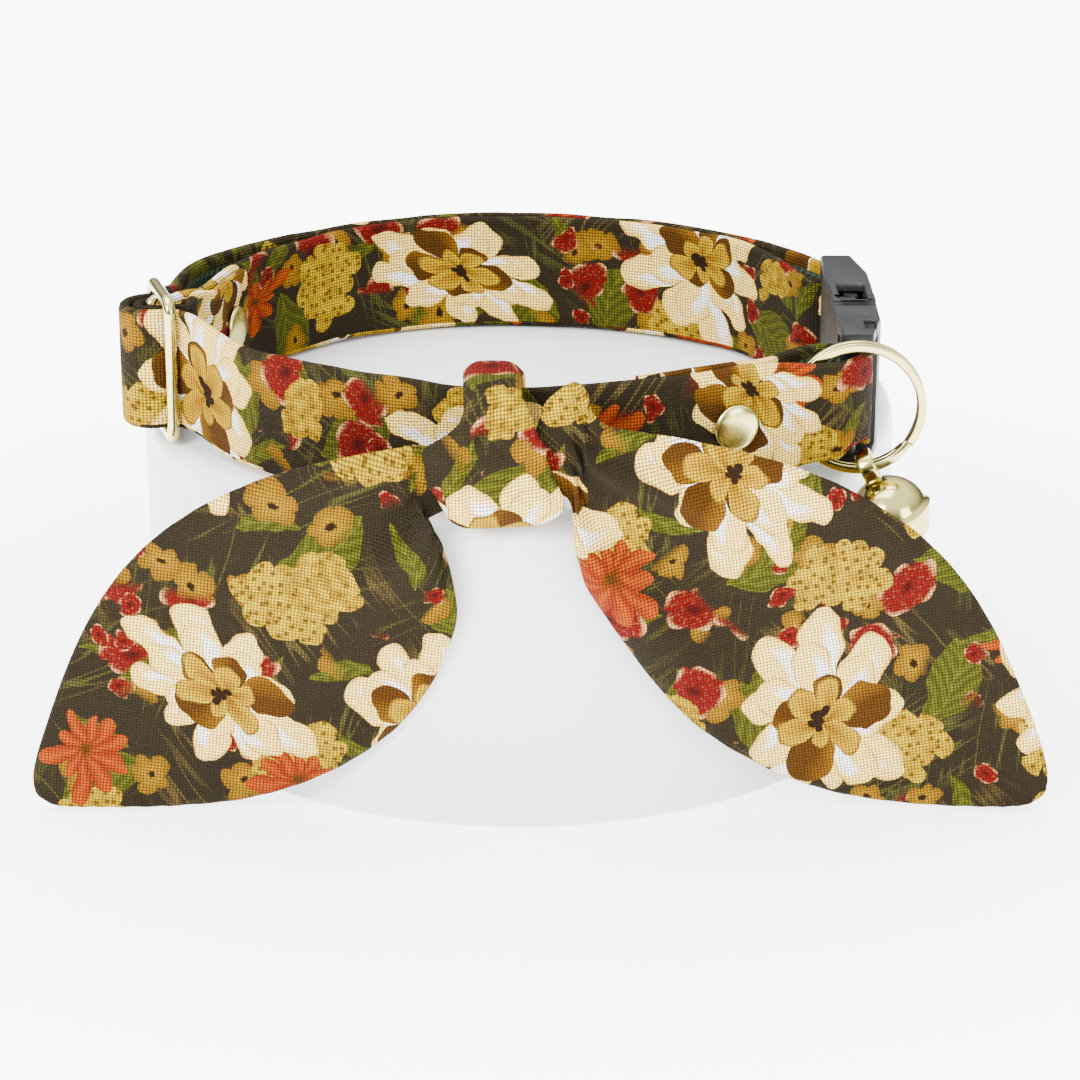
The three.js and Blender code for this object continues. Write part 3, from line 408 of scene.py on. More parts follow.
def clothVector(tree, shift, turn):
    source = addNode(tree, "UVMap", {}, uv_map="cloth")
    return addNode(tree, "Mapping", {"Vector": source.outputs["UV"], "Location": (*shift, 0.0),
                                     "Rotation": (0.0, 0.0, math.radians(turn))}).outputs["Vector"]


# Printed cotton. The map is in millimetres on the flat cloth.
def printedCotton(name, shift, turn):
    material, tree, shader = startMaterial(name)
    cloth = clothVector(tree, shift, turn)
    ink = useGroup(tree, printGroup, {"Cloth": cloth})
    weave = useGroup(tree, weaveGroup, {"Cloth": cloth})
    height = weave["Height"]
    fade = noise(tree, cloth, 1.6, 1.0) * 0.35 + 0.82
    # Painted shade of the weave: the print is darkened where each thread dips, and a dark brown fills the
    # gaps between the threads.
    colour = scaleColour(tree, ink["Colour"], (height * 0.42 + 0.64) * fade)
    colour = mixColour(tree, (weave["Gap"] * 1.3).clamped(), colour, (0.012, 0.0075, 0.0035))
    fill(tree, shader, {
        "Base Color": colour, "Roughness": 0.82, "Specular IOR Level": 0.04,
        "Sheen Weight": 0.008, "Sheen Roughness": 0.5,
        "Normal": bumped(tree, height + noise(tree, cloth, 2.5, 1.0) * 0.4, 0.00016, 0.9)})
    return material


# Webbing on the strap's inner side: slanting ribs of thick green threads.
def webbing():
    material, tree, shader = startMaterial("green_webbing")
    cloth = clothVector(tree, (0.0, 0.0), 0.0)
    x, y, _ = split(tree, cloth)
    rib = ((x * 5.2 + y * 3.0).wave() * 0.5 + 0.5) * ((y * 6.2).wave() * 0.25 + 0.75)
    shade = noise(tree, cloth, 1.1, 3.0)
    colour = mixColour(tree, shade, (0.009, 0.022, 0.01), (0.026, 0.05, 0.022))
    # The colour is darker in the grooves between the ribs: painted shade.
    fill(tree, shader, {"Base Color": scaleColour(tree, colour, rib * 0.7 + 0.5), "Roughness": 0.7,
                        "Normal": bumped(tree, rib, 0.00018)})
    return material


# Hard surfaces: two cloudy shades of one colour, a roughness that follows the clouds and the grain,
# and a bump from both.
def hardSurface(name, fit):
    material, tree, shader = startMaterial(name)
    position = tree.nodes.new("ShaderNodeTexCoord").outputs["Object"]
    made = useGroup(tree, surfaceGroup, {
        "Place": position, "Cloud Scale": fit["clouds"], "Grain Scale": fit["grains"]})
    cloud, grain = made["Cloud"], made["Grain"]
    height = grain * 0.5 + cloud if fit["cloudyBump"] else grain
    rough = cloud * fit["roughClouds"]
    if fit["roughGrain"]:
        rough = rough + grain * fit["roughGrain"]
    fill(tree, shader, {
        "Base Color": mixColour(tree, cloud, *fit["shades"]), "Metallic": fit["metal"],
        "Roughness": rough + fit["rough"], "Specular IOR Level": fit["specular"],
        "Normal": bumped(tree, height, fit["bump"], fit["bumpStrength"])})
    return material


# Pale gold plating: a slightly uneven polish, with fine scratches and cloudy patches.
def paleGold(name, roughness, tint):
    return hardSurface(name, {
        "clouds": 240.0, "grains": 2600.0, "shades": (tint, [value * 0.8 for value in tint]), "metal": 1.0,
        "rough": roughness - 0.06, "roughClouds": 0.12, "roughGrain": 0.06, "specular": 0.5,
        "cloudyBump": True, "bump": 0.00002, "bumpStrength": 0.35})


goldWire = paleGold("gold_wire", 0.16, (0.57, 0.5, 0.18))
goldCap = paleGold("gold_cap", 0.22, (0.6, 0.54, 0.19))
goldBell = paleGold("gold_bell", 0.14, (0.52, 0.45, 0.15))
# Black moulded plastic: a fine spark-eroded grain and faint handling marks.
plasticBlack = hardSurface("black_plastic", {
    "clouds": 180.0, "grains": 3200.0, "shades": ((0.006, 0.006, 0.0068), (0.013, 0.013, 0.0145)),
    "metal": 0.0, "rough": 0.4, "roughClouds": 0.15, "roughGrain": 0, "specular": 0.25,
    "cloudyBump": False, "bump": 0.00004, "bumpStrength": 0.5})
# Stand: satin white plastic with a faint cloudiness.
plasticWhite = hardSurface("white_plastic", {
    "clouds": 30.0, "grains": 1500.0, "shades": ((0.64, 0.64, 0.65), (0.69, 0.69, 0.69)),
    "metal": 0.0, "rough": 0.36, "roughClouds": 0.1, "roughGrain": 0, "specular": 0.5,
    "cloudyBump": False, "bump": 0.00003, "bumpStrength": 0.3})
strapPrint = printedCotton("strap_print", (14.0, 92.0), 0.0)
leftPrint = printedCotton("left_tail_print", (148.3, 120.9), 6.0)
rightPrint = printedCotton("right_tail_print", (104.1, 89.6), -8.0)
knotPrint = printedCotton("knot_print", (106.2, 98.2), 0.0)
greenWebbing = webbing()
print("stage: materials")


# A mesh from a grid of points (rows, columns, 3), in millimetres. Rows or columns may close on
# themselves. The map holds one more row or column where the grid closes.
def gridMesh(name, grid, materials, closeRows=False, closeColumns=True, caps=False, cloth=None, zones=None):
    rows, columns = grid.shape[:2]
    lastRow = rows if closeRows else rows - 1
    lastColumn = columns if closeColumns else columns - 1
    i, j = np.meshgrid(np.arange(lastRow), np.arange(lastColumn), indexing="ij")
    i, j = i.ravel(), j.ravel()
    corners = [(i, j), (i + 1, j), (i + 1, j + 1), (i, j + 1)]
    faces = np.stack([(a % rows) * columns + (b % columns) for a, b in corners], axis=1)
    points = grid.reshape(-1, 3)
    spokes = points[faces]
    turn = np.cross(spokes[:, 1] - spokes[:, 0], spokes[:, 2] - spokes[:, 0])
    turn = turn + np.cross(spokes[:, 2] - spokes[:, 0], spokes[:, 3] - spokes[:, 0])
    inward = np.einsum("ij,ij->", turn, spokes.mean(axis=1) - points.mean(axis=0)) < 0
    if inward:
        faces = faces[:, ::-1]
        corners = corners[::-1]
    mesh = bpy.data.meshes.new(name)
    sizes = [4] * len(faces)
    loops = faces.ravel()
    if caps:
        first = np.arange(columns)
        final = (rows - 1) * columns + np.arange(columns)
        ends = [first[::-1], final] if inward else [first, final[::-1]]
        loops = np.concatenate([loops, *ends])
        sizes = sizes + [columns, columns]
    mesh.vertices.add(len(points))
    mesh.vertices.foreach_set("co", (points * mm).ravel())
    mesh.loops.add(len(loops))
    mesh.loops.foreach_set("vertex_index", loops.astype(np.int32))
    mesh.polygons.add(len(sizes))
    starts = np.concatenate([[0], np.cumsum(sizes)[:-1]])
    mesh.polygons.foreach_set("loop_start", starts.astype(np.int32))
    mesh.update(calc_edges=True)
    mesh.validate()
    if cloth is not None:
        layer = mesh.uv_layers.new(name="cloth")
        values = np.zeros((len(loops), 2))
        values[: 4 * len(faces)] = np.stack([cloth[a, b] for a, b in corners], axis=1).reshape(-1, 2)
        if caps:
            values[4 * len(faces):] = cloth[0, 0]
        layer.data.foreach_set("uv", values.ravel())
    for material in materials:
        mesh.materials.append(material)
    if zones is not None:
        mesh.polygons.foreach_set("material_index", np.pad(zones.ravel(), (0, len(sizes) - zones.size)))
    mesh.polygons.foreach_set("use_smooth", np.ones(len(sizes), dtype=bool))
    return newPiece(name, mesh)


def place(piece, node):
    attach(piece, "root")
    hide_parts(node)


def unit(vector):
    return vector / np.linalg.norm(vector)


# Each row of an array brought to length one.
def unitRows(array):
    return array / np.linalg.norm(array, axis=1, keepdims=True)


# Distance covered at each point of a path.
def distances(points):
    return np.concatenate([[0], np.cumsum(np.linalg.norm(np.diff(points, axis=0), axis=1))])


# A hump of height one that falls off over a width.
def hump(away, width):
    return np.exp(-((away / width) ** 2))


# A rise from 0 to 1 with soft ends.
def eased(value):
    return value * value * (3 - 2 * value)


# Catmull-Rom curve through points, centripetal, sampled with a few steps to each span.
def throughPoints(points, steps, closed=False):
    points = np.asarray(points, dtype=float)
    if closed:
        padded = np.vstack([points[-1], points, points[:2]])
    else:
        padded = np.vstack([2 * points[0] - points[1], points, 2 * points[-1] - points[-2]])
    out = []
    for k in range(1, len(padded) - 2):
        a, b, c, d = padded[k - 1: k + 3]
        ab, bc, cd = [max(np.linalg.norm(q - p), 1e-6) ** 0.5 for p, q in ((a, b), (b, c), (c, d))]
        count = max(1, int(round(steps(np.linalg.norm(c - b)) if callable(steps) else steps)))
        tangentB = (c - b) / bc * bc + bc * ((b - a) / ab - (c - a) / (ab + bc))
        tangentC = (c - b) + bc * ((d - c) / cd - (d - b) / (bc + cd))
        t = np.arange(count)[:, None] / count
        h = (2 * t**3 - 3 * t**2 + 1) * b + (t**3 - 2 * t**2 + t) * tangentB
        out.append(h + (-2 * t**3 + 3 * t**2) * c + (t**3 - t**2) * tangentC)
    if not closed:
        out.append(points[-1:])
    return np.vstack(out)


# The same curve taken again at even spacing.
def evenly(points, spacing, closed=False):
    if closed:
        points = np.vstack([points, points[:1]])
    reach = distances(points)
    count = max(2, int(round(reach[-1] / spacing)))
    wanted = np.linspace(0, reach[-1], count, endpoint=not closed)
    return np.stack([np.interp(wanted, reach, points[:, k]) for k in range(points.shape[1])], axis=1), wanted


def directions(points, closed=False):
    if closed:
        step = np.roll(points, -1, axis=0) - np.roll(points, 1, axis=0)
    else:
        step = np.gradient(points, axis=0)
    return unitRows(step)


# Stand and collar places, as in the CAD model.
stand = {"radius": 50.0, "height": 41.0, "rim": 2.5, "foot": 0.8}
band = {"bottom": 41.3, "width": 16.0, "thickness": 1.4, "gap": 0.3}
loopSize = {"halfWidth": 46.0, "halfDepth": 38.0, "centreX": -2.5, "forward": 9.0}
bandTop = band["bottom"] + band["width"]
layerStep = band["thickness"] + band["gap"]


def planPoints(rows):
    rows = np.asarray(rows, dtype=float)
    x = loopSize["centreX"] + loopSize["halfWidth"] * rows[:, 0]
    y = -loopSize["forward"] + loopSize["halfDepth"] * rows[:, 1]
    return np.stack([x, y], axis=1)


def planArc(centre, radius, start, end, steps):
    angle = np.radians(np.linspace(start, end, steps + 1))
    return np.stack([centre[0] + radius * np.cos(angle), centre[1] + radius * np.sin(angle)], axis=1)


def besideRun(points, distance):
    before = np.vstack([points[:1], points[:-1]])
    after = np.vstack([points[1:], points[-1:]])
    along = unitRows(after - before)
    return points + np.stack([along[:, 1], -along[:, 0]], axis=1) * distance


# Slide and buckle places.
slide = {"wire": 1.6, "clearance": 0.3, "turn": 17.5, "corner": 1.5, "bow": 1.25}
passRadius = slide["wire"] / 2 + band["gap"] + band["thickness"] / 2
overRadius = passRadius + layerStep
barSpacing = passRadius + overRadius + 0.05
slideHalfSpan = math.sqrt(barSpacing**2 - slide["bow"] ** 2)
slideAngle = math.radians(slide["turn"])
slideAlong = np.array([-math.sin(slideAngle), math.cos(slideAngle)])
slideOut = np.array([-slideAlong[1], slideAlong[0]])
slideCentre = planPoints([(-0.94, -0.227)])[0]
frontBar = slideCentre - slideAlong * slideHalfSpan
rearBar = slideCentre + slideAlong * slideHalfSpan
middleBar = slideCentre + slideOut * slide["bow"]
slideLow = band["bottom"]
slideHigh = slideLow + band["width"] + 2 * (slide["wire"] + slide["clearance"])

buckle = {"thickness": 5.6, "height": 17.6, "wall": 1.5, "bar": 2.4, "slot": 2.3, "join": 0.35,
          "reach": 31.3, "plugBody": 11.5, "shell": 1.1, "prong": 1.8, "prongWidth": 3.1,
          "prongLength": 9.0, "window": 5.6}
buckleX = planPoints([(0.993, 0)])[0][0]
buckleFront = planPoints([(0, -0.559)])[0][1]
buckleLow = band["bottom"]
buckleHigh = buckleLow + buckle["height"]
buckleMiddle = (buckleLow + buckleHigh) / 2
plugBar = np.array([buckleX - 1.6, buckleFront + buckle["bar"] / 2])
socketBar = np.array([buckleX - 1.8, buckleFront + buckle["reach"] + buckle["bar"] / 2])
barWrap = buckle["bar"] / 2 + band["gap"] + band["thickness"] / 2 + 0.1

ring = {"radius": 8.6, "radial": 1.15, "axial": 0.9, "turnGap": 0.12, "start": -35.0}
ringCentre = np.array([buckleX - 0.7, buckleFront - 2.9, buckleMiddle + 0.1])
ringWireRadius = ring["radius"] - ring["radial"] / 2
ringPitch = ring["axial"] + ring["turnGap"]
tabAngle = math.radians(-79)
ringAtTab = ringCentre + ringWireRadius * np.array([math.cos(tabAngle), 0, math.sin(tabAngle)])

# The strap's plan in shares of the loop's half width and half depth.
# Near the buckle its places are offsets from the bar that it turns round.
plugFold = plugBar + np.array([(-7.7, -1.0), (-5.4, 1.0), (-3.0, 2.0)])
plugTurn = plugBar + np.array([(1.3, -2.5), (-0.4, -4.6)])
plugRun = plugBar + np.array([(-3.3, -5.8)])
socketRun = socketBar + np.array([(-4.2, 9.0), (-0.3, 4.4)])
socketTurn = socketBar + np.array([(-2.9, -1.8), (-4.6, 1.7)])
frontRun = np.vstack([plugRun, planPoints([
    (0.763, -0.708), (0.72, -0.728), (0.68, -0.745), (0.548, -0.816), (0.385, -0.892),
    (0.246, -0.934), (0.054, -0.963), (-0.124, -0.93), (-0.257, -0.866), (-0.391, -0.795),
    (-0.528, -0.708), (-0.665, -0.59), (-0.795, -0.41),
])])
backRun = planPoints([
    (-0.933, 0.026), (-0.93, 0.19), (-0.905, 0.325), (-0.862, 0.435), (-0.802, 0.525),
    (-0.71, 0.632), (-0.593, 0.747), (-0.452, 0.85), (-0.304, 0.928), (-0.157, 0.976),
    (-0.007, 0.995), (0.143, 0.983), (0.293, 0.95), (0.441, 0.892), (0.589, 0.797),
    (0.73, 0.675),
])
innerRun = planPoints([
    (-0.452, 0.79), (-0.598, 0.645), (-0.728, 0.45), (-0.783, 0.329), (-0.826, 0.158),
    (-0.857, 0), (-0.887, -0.115),
])


def bearing(start, end):
    return math.degrees(math.atan2(end[1] - start[1], end[0] - start[0]))


frontToMiddle = bearing(frontBar, middleBar)
middleToRear = bearing(middleBar, rearBar)
strapPlan = np.vstack([
    besideRun(frontRun, layerStep)[2:6][::-1],
    plugFold,
    planArc(plugBar, barWrap, 100, -5, 7),
    plugTurn,
    frontRun,
    planArc(frontBar, passRadius, 40, frontToMiddle - 12, 5),
    planArc(middleBar, overRadius, frontToMiddle + 168, middleToRear + 12, 16),
    planArc(rearBar, passRadius, middleToRear + 192, 370, 6),
    backRun,
    socketRun,
    planArc(socketBar, barWrap, 25, -100, 7),
    socketTurn,
    besideRun(backRun, layerStep)[8:16][::-1],
    innerRun,
    planArc(rearBar, passRadius + layerStep + 0.1, -12, -38, 2),
    planArc(middleBar, passRadius, 72, 288, 12),
    planArc(frontBar, passRadius + layerStep + 0.15, 78, 62, 1),
    besideRun(innerRun, -layerStep)[3:][::-1],
])

# Places that squeeze or lift the strap: flat within the reach, then back over the fade.
knotPlace = planPoints([(-0.006, -0.955)])[0]
knotSqueeze = {"low": 2.8, "high": 0.2}
strapHolds = [
    {"place": plugBar, "reach": 6.5, "fade": 5.0,
     "low": buckleLow + buckle["wall"] + 0.9, "high": buckleHigh - buckle["wall"] - 0.8},
    {"place": socketBar, "reach": 3.5, "fade": 4.0,
     "low": buckleLow + buckle["wall"] + 0.9, "high": buckleHigh - buckle["wall"] - 0.8},
    {"place": ringAtTab[:2], "reach": 2.2, "fade": 2.5,
     "low": ringAtTab[2] + ring["radial"] / 2 + 2.1, "high": bandTop},
    {"place": middleBar, "reach": 6.0, "fade": 5.0,
     "low": slideLow + slide["wire"] + slide["clearance"],
     "high": slideHigh - slide["wire"] - slide["clearance"]},
    {"place": knotPlace, "reach": 5.0, "fade": 4.5,
     "low": band["bottom"] + knotSqueeze["low"], "high": bandTop - knotSqueeze["high"]},
]


def strapEdges(plan):
    low = np.full(len(plan), band["bottom"])
    sink = np.zeros(len(plan))
    lift = np.zeros(len(plan))
    for hold in strapHolds:
        away = np.maximum(0, np.linalg.norm(plan - hold["place"], axis=1) - hold["reach"]) / hold["fade"]
        near = np.exp(-(away**2))
        low = np.maximum(low, band["bottom"] + (hold["low"] - band["bottom"]) * near)
        shift = (hold["high"] - bandTop) * near
        sink = np.minimum(sink, shift)
        lift = np.maximum(lift, shift)
    return low, bandTop + sink + lift


# Strap section and ends: the rounded edge's share of the width, the swell of the face, the waver of
# the edges, and the last stretch, which is folded back so that its inner face is printed too.
strapFit = {"edge": 0.045, "faceSteps": 15, "swell": 0.06, "waver": 0.1, "foldedEnd": 32.0}


# Strap: the plan curve swept with a flat section whose edges are rounded over. The outer face
# and the edges are printed cotton, the inner face is webbing.
def buildStrap():
    plan = throughPoints(strapPlan, lambda span: max(2, span / 0.7))
    plan, reach = evenly(plan, 0.55)
    along = directions(plan)
    side = np.stack([-along[:, 1], along[:, 0]], axis=1)
    low, high = strapEdges(plan)
    edge, waver, faceSteps = strapFit["edge"], strapFit["waver"], strapFit["faceSteps"]
    low = low + waver * np.maximum(0, np.sin(reach / 6.1) + np.sin(reach / 2.7 + 1))
    high = high - waver * np.maximum(0, np.sin(reach / 5.3 + 2) + np.sin(reach / 2.3))
    # Section: the face from low to high, over the top edge, and the back from high to low.
    rise = np.linspace(edge, 1 - edge, faceSteps)
    turn = np.linspace(0, np.pi, 7)[1:-1]
    half = band["thickness"] / 2
    flatFace = np.full(faceSteps, half)
    rounding = edge * np.sin(turn)
    outs = np.concatenate([flatFace, half * np.cos(turn), -flatFace, -half * np.cos(turn)])
    shares = np.concatenate([rise, 1 - edge + rounding, rise[::-1], edge - rounding])
    swell = 1 + strapFit["swell"] * np.sin(np.pi * shares)
    height = low[:, None] + (high - low)[:, None] * shares[None, :]
    grid = np.stack([*(plan[:, k:k + 1] + side[:, k:k + 1] * outs * swell for k in (0, 1)), height], axis=2)
    # Cloth map: distance along the strap, and distance round the section.
    girth = np.concatenate([[0], np.cumsum(np.hypot(np.diff(outs), np.diff(shares * band["width"])))])
    girth = np.append(girth, girth[-1] + 0.3)
    cloth = np.stack(np.meshgrid(reach, girth, indexing="ij"), axis=2)
    zones = np.zeros((len(plan) - 1, len(outs)), dtype=np.int32)
    webbingRows = reach[:-1] < reach[-1] - strapFit["foldedEnd"]
    backStart = faceSteps + len(turn) + 1
    zones[np.ix_(webbingRows, np.arange(backStart, backStart + faceSteps - 1))] = 1
    piece = gridMesh("strap_cloth", grid, [strapPrint, greenWebbing], caps=True, cloth=cloth, zones=zones)
    place(piece, "strap")


buildStrap()
print("stage: strap")


# Tube: a round or flat section carried along a path. The section is given as offsets along two
# directions at each point of the path.
def sweepSection(name, path, first, second, offsets, material, closed):
    grid = (path[:, None, :] + first[:, None, :] * offsets[None, :, 0:1]
            + second[:, None, :] * offsets[None, :, 1:2])
    return gridMesh(name, grid, [material], closeRows=closed, caps=not closed)


# A cosine or sine pushed outwards by a power below one, which squares a circle off.
def squared(value, power):
    return np.sign(value) * np.abs(value) ** power


def wireSection(width, height, power=1.0):
    turn = np.linspace(0, 2 * np.pi, 20, endpoint=False)
    return np.stack([width / 2 * squared(np.cos(turn), power),
                     height / 2 * squared(np.sin(turn), power)], axis=1)


# Slide: an upright wire frame with a bowed middle bar.
def buildSlide():
    middleZ = (slideLow + slideHigh) / 2
    halfHeight = (slideHigh - slideLow - slide["wire"]) / 2
    face, run, up = np.array([*slideOut, 0.0]), np.array([*slideAlong, 0.0]), np.array([0, 0, 1.0])
    centre = np.array([*slideCentre, middleZ])
    path = []
    for alongSign, upSign, start in ((1, 1, 0), (-1, 1, 90), (-1, -1, 180), (1, -1, 270)):
        angle = np.radians(start + np.linspace(0, 90, 9))
        across = alongSign * (slideHalfSpan - slide["corner"]) + slide["corner"] * np.cos(angle)
        height = upSign * (halfHeight - slide["corner"]) + slide["corner"] * np.sin(angle)
        path.append(centre + across[:, None] * run + height[:, None] * up)
    path, _ = evenly(np.vstack(path), 0.4, closed=True)
    along = directions(path, closed=True)
    across = np.cross(along, face)
    frameWire = sweepSection("slide_frame", path, across, np.tile(face, (len(path), 1)),
                             wireSection(slide["wire"], slide["wire"]), goldWire, True)
    share = np.linspace(-1, 1, 60)
    bulge = slide["bow"] * np.minimum(1, (1 - np.abs(share)) * 7)
    bulge = bulge * bulge * (3 - 2 * bulge / slide["bow"]) / slide["bow"]
    bar = centre + share[:, None] * halfHeight * up + bulge[:, None] * face
    along = directions(bar)
    across = np.cross(along, face)
    barWire = sweepSection("slide_bar", bar, across, np.cross(across, along),
                           wireSection(slide["wire"] - 0.04, slide["wire"] - 0.04), goldWire, False)
    place(frameWire, "slide")
    place(barWire, "slide")


buildSlide()


# Split ring: two flat turns joined by a jog, with worn corners.
def buildRing():
    turn = np.linspace(0, 714, 420)
    angle = np.radians(ring["start"] + turn)
    jog = eased(np.clip((turn - 336) / 42, 0, 1))
    radial = np.stack([np.cos(angle), np.zeros_like(angle), np.sin(angle)], axis=1)
    path = ringCentre + ringWireRadius * radial
    path[:, 1] += (jog - 0.5) * ringPitch
    back = np.tile(np.array([0, 1.0, 0]), (len(path), 1))
    section = wireSection(ring["radial"], ring["axial"], 0.45)
    piece = sweepSection("split_ring_wire", path, radial, back, section, goldWire, False)
    place(piece, "split_ring")


buildRing()


# A turned piece: the profile (radius, height) spun about an axis through a point.
def spun(name, profile, centre, axis, material, sides=64):
    profile = np.asarray(profile, dtype=float)
    angle = np.linspace(0, 2 * np.pi, sides, endpoint=False)
    axis = unit(np.asarray(axis, dtype=float))
    helper = np.array([0, 0, 1.0]) if abs(axis[2]) < 0.9 else np.array([1.0, 0, 0])
    first = unit(np.cross(helper, axis))
    second = np.cross(axis, first)
    rim = np.cos(angle)[:, None] * first + np.sin(angle)[:, None] * second
    grid = centre + profile[:, None, 0:1] * rim[None, :, :] + profile[:, None, 1:2] * axis
    return gridMesh(name, grid, [material], closeRows=False, caps=True)


# Stand: rounded rim and foot, turned.
rim, foot, drumTop = stand["rim"], stand["foot"], stand["height"]
standProfile = np.vstack([
    [(0.02, 0.0), (20, 0.0), (40, 0.0)],
    planArc((stand["radius"] - foot, foot), foot, -90, 0, 6),
    np.stack([np.full(8, stand["radius"]), np.linspace(3, drumTop - 4, 8)], axis=1),
    planArc((stand["radius"] - rim, drumTop - rim), rim, 0, 90, 12),
    [(40, drumTop), (20, drumTop), (0.02, drumTop)],
])
place(spun("stand_drum", standProfile, np.zeros(3), (0, 0, 1), plasticWhite, 192), "stand")

# Rivets: domed caps on a shank.
cap = {"radius": 3.0, "rise": 0.9, "shank": 0.9, "clearance": 0.35}


# A rivet goes square through two layers, between two points of a run of the strap.
def buildRivet(name, start, end, share, side, height, node):
    outward = unit(np.array([start[1] - end[1], end[0] - start[0], 0.0]))
    plan = start + (end - start) * share + outward[:2] * side * layerStep / 2
    inner = band["thickness"] + band["gap"] / 2 + cap["clearance"]
    dome = np.radians(np.linspace(90, 0, 14))
    upper = np.stack([cap["radius"] * np.sin(dome[::-1]) ** 0.9,
                      inner + cap["rise"] * np.sin(dome) ** 0.8], axis=1)
    upper[0, 0] = 0.02
    half = np.vstack([upper, [(cap["radius"] * 0.97, inner), (cap["shank"], inner)]])
    profile = np.vstack([half, (half * [1, -1])[::-1]])
    place(spun(name, profile, np.array([*plan, height]), outward, goldCap, 48), node)


strapMiddle = (band["bottom"] + bandTop) / 2
buildRivet("strap_rivet_caps", frontRun[3], frontRun[4], 0.36, -1, strapMiddle + 0.4, "strap_rivet")
buildRivet("slide_rivet_caps", innerRun[3], innerRun[4], 0.8, 1, strapMiddle + 1.2, "slide_rivet")
print("stage: metal pieces")


def pieceFrom(work, name):
    mesh = bpy.data.meshes.new(name)
    work.to_mesh(mesh)
    work.free()
    return newPiece(name, mesh)


def boxPiece(low, high):
    work = bmesh.new()
    bmesh.ops.create_cube(work, size=1.0)
    low, high = np.asarray(low, dtype=float) * mm, np.asarray(high, dtype=float) * mm
    for vertex in work.verts:
        vertex.co = Vector((low + high) / 2) + Vector(np.array(vertex.co) * (high - low))
    return pieceFrom(work, "cutter")


def rodPiece(start, end, radius, sides=32):
    start, end = Vector(start) * mm, Vector(end) * mm
    work = bmesh.new()
    bmesh.ops.create_cone(work, cap_ends=True, segments=sides, radius1=radius * mm, radius2=radius * mm,
                          depth=(end - start).length)
    turn = Vector((0, 0, 1)).rotation_difference(end - start).to_matrix()
    for vertex in work.verts:
        vertex.co = turn @ vertex.co + (start + end) / 2
    return pieceFrom(work, "rod")


def outlinePiece(outline, low, high):
    work = bmesh.new()
    lower = [work.verts.new((x * mm, y * mm, low * mm)) for x, y in outline]
    raised = bmesh.ops.extrude_face_region(work, geom=[work.faces.new(lower)])
    for item in raised["geom"]:
        if isinstance(item, bmesh.types.BMVert):
            item.co.z = high * mm
    bmesh.ops.recalc_face_normals(work, faces=work.faces)
    return pieceFrom(work, "outline")


def applyModifier(piece, kind, **settings):
    modifier = piece.modifiers.new(kind, kind)
    for key, value in settings.items():
        setattr(modifier, key, value)
    graph = bpy.context.evaluated_depsgraph_get()
    made = bpy.data.meshes.new_from_object(piece.evaluated_get(graph))
    piece.modifiers.clear()
    piece.data = made


def combineSolids(piece, tools, operation):
    for tool in tools:
        applyModifier(piece, "BOOLEAN", object=tool, operation=operation, solver="EXACT")
        bpy.data.objects.remove(tool)


def cut(piece, tools):
    combineSolids(piece, tools, "DIFFERENCE")


def join(piece, tools):
    combineSolids(piece, tools, "UNION")


def shaded(piece, sharpFrom):
    piece.data.polygons.foreach_set("use_smooth", np.ones(len(piece.data.polygons), dtype=bool))
    piece.data.set_sharp_from_angle(angle=math.radians(sharpFrom))


def softened(piece, name, width, material):
    applyModifier(piece, "BEVEL", width=width * mm, segments=3, limit_method="ANGLE",
                  angle_limit=math.radians(35), harden_normals=False, miter_outer="MITER_ARC")
    piece.name = name
    piece.data.name = name
    piece.data.materials.clear()
    piece.data.materials.append(material)
    shaded(piece, 38)


# Buckle halves, cut from upright plates.
outerX = buckleX + buckle["thickness"] / 2
innerX = buckleX - buckle["thickness"] / 2
plugBodyFront = buckleFront + buckle["bar"] + buckle["slot"]
plugBodyRear = plugBodyFront + buckle["plugBody"]
socketFront = plugBodyRear + buckle["join"]
socketSlotRear = buckleFront + buckle["reach"]
socketBodyRear = socketSlotRear - buckle["slot"]
socketRear = socketSlotRear + buckle["bar"]
windowFront, windowDepth = 2.3, 2.6  # the window in the narrow side, shared by both halves
plugLip = 0.25  # the plug's rear end stands this far into the gap


def buckleBar(spot):
    return rodPiece((*spot, buckleLow + 0.7), (*spot, buckleHigh - 0.7), buckle["bar"] / 2)


